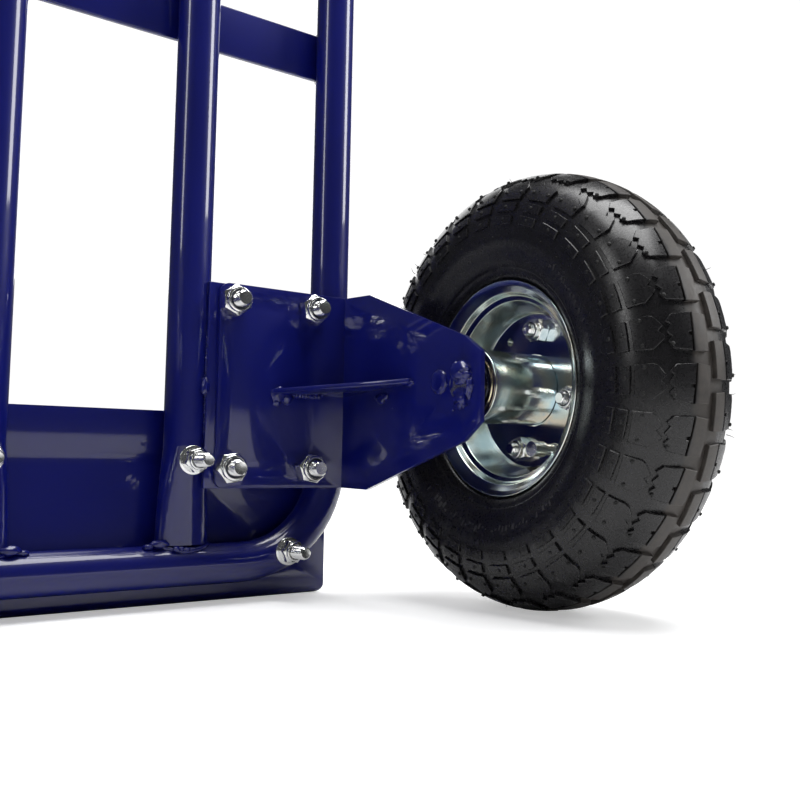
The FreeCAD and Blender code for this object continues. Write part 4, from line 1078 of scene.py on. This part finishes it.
def bearings(side):
    """The bearings' outer rings and their dished seals."""
    rings, seals = Shape(), Shape()
    wide, gap = 12, 0.2
    ring = rounded([(0, 16.4, 0.4), (0, 20.0, 0.7), (wide, 20.0, 0.7), (wide, 18.3, 0.2),
                    (11.5, 17.9, 0.2), (11.5, 17.3, 0.2), (wide, 16.9, 0.2), (wide, 16.4, 0.3)], 3)
    out_end, in_end = hub_ends(side)
    for start in (in_end - 12.2, out_end + gap):
        place = wheel_matrix(side) @ Matrix.Translation((start, 0, 0))
        rings.add(*spin(ring, 96), place)
        for face, way in ((11.6, -1), (0.4, 1)):
            low, back = face + way * 0.5, face + way
            dish = [(face, 16.3), (face, 15.4), (low, 14.9), (low, 13.2), (face, 12.8),
                    (face, 11.9), (back, 11.9), (back, 16.3)]
            seals.add(*spin(dish, 96), place)
    body = f"{side}_wheel"
    rings.make(f"bearing_rings_{side}", [BRASSY], body, (f"bearing_outer_rings_{side}",),
               "bearing_steel", sharp=24)
    seals.make(f"bearing_dished_seals_{side}", [SEAL], body, (f"bearing_seals_{side}",),
               "seal_rubber", sharp=40)


VENT_TURN = radians(56)    # the vent hole's place on the inboard half's web
VENT_CIRCLE, VENT_RADIUS = 37.5, 2.6


def wheel(side, rng):
    tyre(side, rng)
    inner = rim_half(side, "rim_half_inner", 1)
    rim_half(side, "rim_half_outer", -1)
    vent = (WEB_FACE - 4, -VENT_CIRCLE * cos(VENT_TURN), VENT_CIRCLE * sin(VENT_TURN))
    drill(inner, wheel_matrix(side) @ Matrix.Translation(vent), VENT_RADIUS, 8)
    hub(side)
    bearings(side)
    rim_hardware(side, rng)


# --- grips ---

GRIP_TILT = radians(10)
GRIP_AXIS = Vector((0, cos(GRIP_TILT), sin(GRIP_TILT)))
GRIP_LENGTH = 121.0


def grip_end(side):
    """The middle of the grip's far end, from the CAD grip's mesh."""
    spots = [v.co / MM for v in NODES[f"handle_grip_{side}"].data.vertices]
    far = max(p.dot(GRIP_AXIS) for p in spots)
    rim = [p for p in spots if p.dot(GRIP_AXIS) > far - 0.5]
    return Vector([(min(p[i] for p in rim) + max(p[i] for p in rim)) / 2 for i in range(3)])


def grip(side):
    """Rubber grip with finger ribs, a guard and a rounded end."""
    start = grip_end(side) - GRIP_AXIS * GRIP_LENGTH
    profile = [(0.0, 12.6), (0.0, 21.6), (0.8, 22.7), (3.6, 23.0), (5.2, 22.2), (6.4, 18.6),
               (8.6, 16.0)]
    ribs, first, last = 15, 12.0, 104.0
    for k in range(ribs * 8 + 1):
        x = first + (last - first) * k / (ribs * 8)
        wave = 0.5 + 0.5 * cos(2 * pi * k / 8)
        belly = 0.6 * sin(pi * (x - first) / (last - first))
        profile.append((x, 15.1 + belly + 0.75 * wave ** 0.7))
    profile += [(107.0, 15.0), (109.0, 16.3), (114.0, 16.4), (118.0, 15.2), (120.2, 12.0),
                (121.0, 7.0), (121.0, 0.01), (118.0, 0.01), (118.0, 12.6)]
    shape = Shape().add(*spin(profile, 64), along(GRIP_AXIS, start))
    shape.make(f"ribbed_grip_{side}", [GRIP], "frame", (f"handle_grip_{side}",),
               "grip_rubber", sharp=50)


# --- floor, lights and camera ---

FLOOR_GLOW = 0.42       # lifts the floor near the object, so that its contact shadow stays pale


def studio():
    """A pale floor in a surround that the camera sees white and reflections see dark."""
    bpy.ops.mesh.primitive_plane_add(size=60, location=(0, 0, -0.0002))
    floor = bpy.context.object
    floor.name = "studio_floor"
    material, tree, shader = new_material("floor_white", Roughness=0.7, Specular_IOR_Level=0.1)
    tone = ramp(tree, clouds(tree, 0.8), [(0.3, (0.87, 0.87, 0.87)), (0.7, (0.89, 0.89, 0.89))])
    tree.links.new(tone, shader.inputs["Base Color"])
    ray = tree.nodes.new("ShaderNodeLightPath")
    where = tree.nodes.new("ShaderNodeTexCoord")
    far = tree.nodes.new("ShaderNodeVectorMath")
    far.operation = "LENGTH"
    tree.links.new(where.outputs["Object"], far.inputs[0])
    shine = spread(tree, far.outputs["Value"], FLOOR_GLOW, 1.1, 0.45, 1.3)
    shader.inputs["Emission Color"].default_value = (1, 1, 1, 1)
    tree.links.new(maths(tree, "MULTIPLY", shine, ray.outputs["Is Camera Ray"]),
                   shader.inputs["Emission Strength"])
    floor.data.materials.append(material)
    world = bpy.context.scene.world or bpy.data.worlds.new("studio")
    bpy.context.scene.world = world
    world.use_nodes = True
    tree = world.node_tree
    tree.nodes.clear()
    seen = tree.nodes.new("ShaderNodeLightPath")
    mixer = tree.nodes.new("ShaderNodeMixShader")
    output = tree.nodes.new("ShaderNodeOutputWorld")
    tree.links.new(seen.outputs["Is Camera Ray"], mixer.inputs["Fac"])
    for slot, colour, strength in ((1, (0.92, 0.95, 1, 1), 0.07), (2, (1, 1, 1, 1), 1.05)):
        surround = tree.nodes.new("ShaderNodeBackground")
        surround.inputs["Color"].default_value = colour
        surround.inputs["Strength"].default_value = strength
        tree.links.new(surround.outputs["Background"], mixer.inputs[slot])
    tree.links.new(mixer.outputs["Shader"], output.inputs["Surface"])
    bpy.context.scene.view_settings.view_transform = "Standard"


def softbox(name, place, target, width, height, power):
    data = bpy.data.lights.new(name, "AREA")
    data.shape = "RECTANGLE"
    data.size, data.size_y = width, height
    data.energy = power
    lamp = bpy.data.objects.new(name, data)
    put(lamp)
    lamp.location = place
    lamp.rotation_euler = (Vector(target) - Vector(place)).to_track_quat("-Z", "Y").to_euler()


def lights():
    aim = (0, 0.05, 0.3)
    softbox("top_box", (-0.3, 0.3, 2.3), aim, 1.6, 1.6, 58)
    softbox("right_box", (-2.2, 1.3, 1.5), aim, 0.9, 1.3, 36)
    softbox("left_strip", (1.9, 0.3, 1.4), aim, 0.35, 1.6, 11)
    softbox("back_box", (-1.2, -2.2, 1.3), aim, 1.8, 1.4, 18)


# where the camera stands (from the axle in Y) and how it is turned, solved from the photo
EYE = Vector((0.1969, 0.44564, 0.08342))
YAW, PITCH_UP, ROLL = radians(41.79), radians(4.92), radians(0.39)


def camera():
    """Low and close behind the right wheel's bracket, looking to the toe plate's right end."""
    data = bpy.data.cameras.new("camera")
    data.lens = 45.08
    data.sensor_width = 36
    data.shift_x = -0.1516
    data.shift_y = -0.0213
    data.clip_start = 0.01
    view = bpy.data.objects.new("camera", data)
    put(view)
    level = cos(PITCH_UP)
    ahead = Vector((-sin(YAW) * level, -cos(YAW) * level, sin(PITCH_UP)))
    flat = Vector((-cos(YAW), sin(YAW), 0))
    up = flat.cross(ahead)
    right = flat * cos(ROLL) + up * sin(ROLL)
    up = right.cross(ahead)
    view.matrix_world = Matrix((
        (right.x, up.x, -ahead.x, EYE.x),
        (right.y, up.y, -ahead.y, AXLE_Y * MM + EYE.y),
        (right.z, up.z, -ahead.z, EYE.z),
        (0, 0, 0, 1),
    ))
    bpy.context.scene.camera = view


rng = random.Random(7)
camera()
studio()
lights()
dress_frame()
sheet_parts()
bracket_hardware(rng)
toe_hardware(rng)
rivets()
welds(rng)
for side in SIDES:
    wheel(side, rng)
    grip(side)
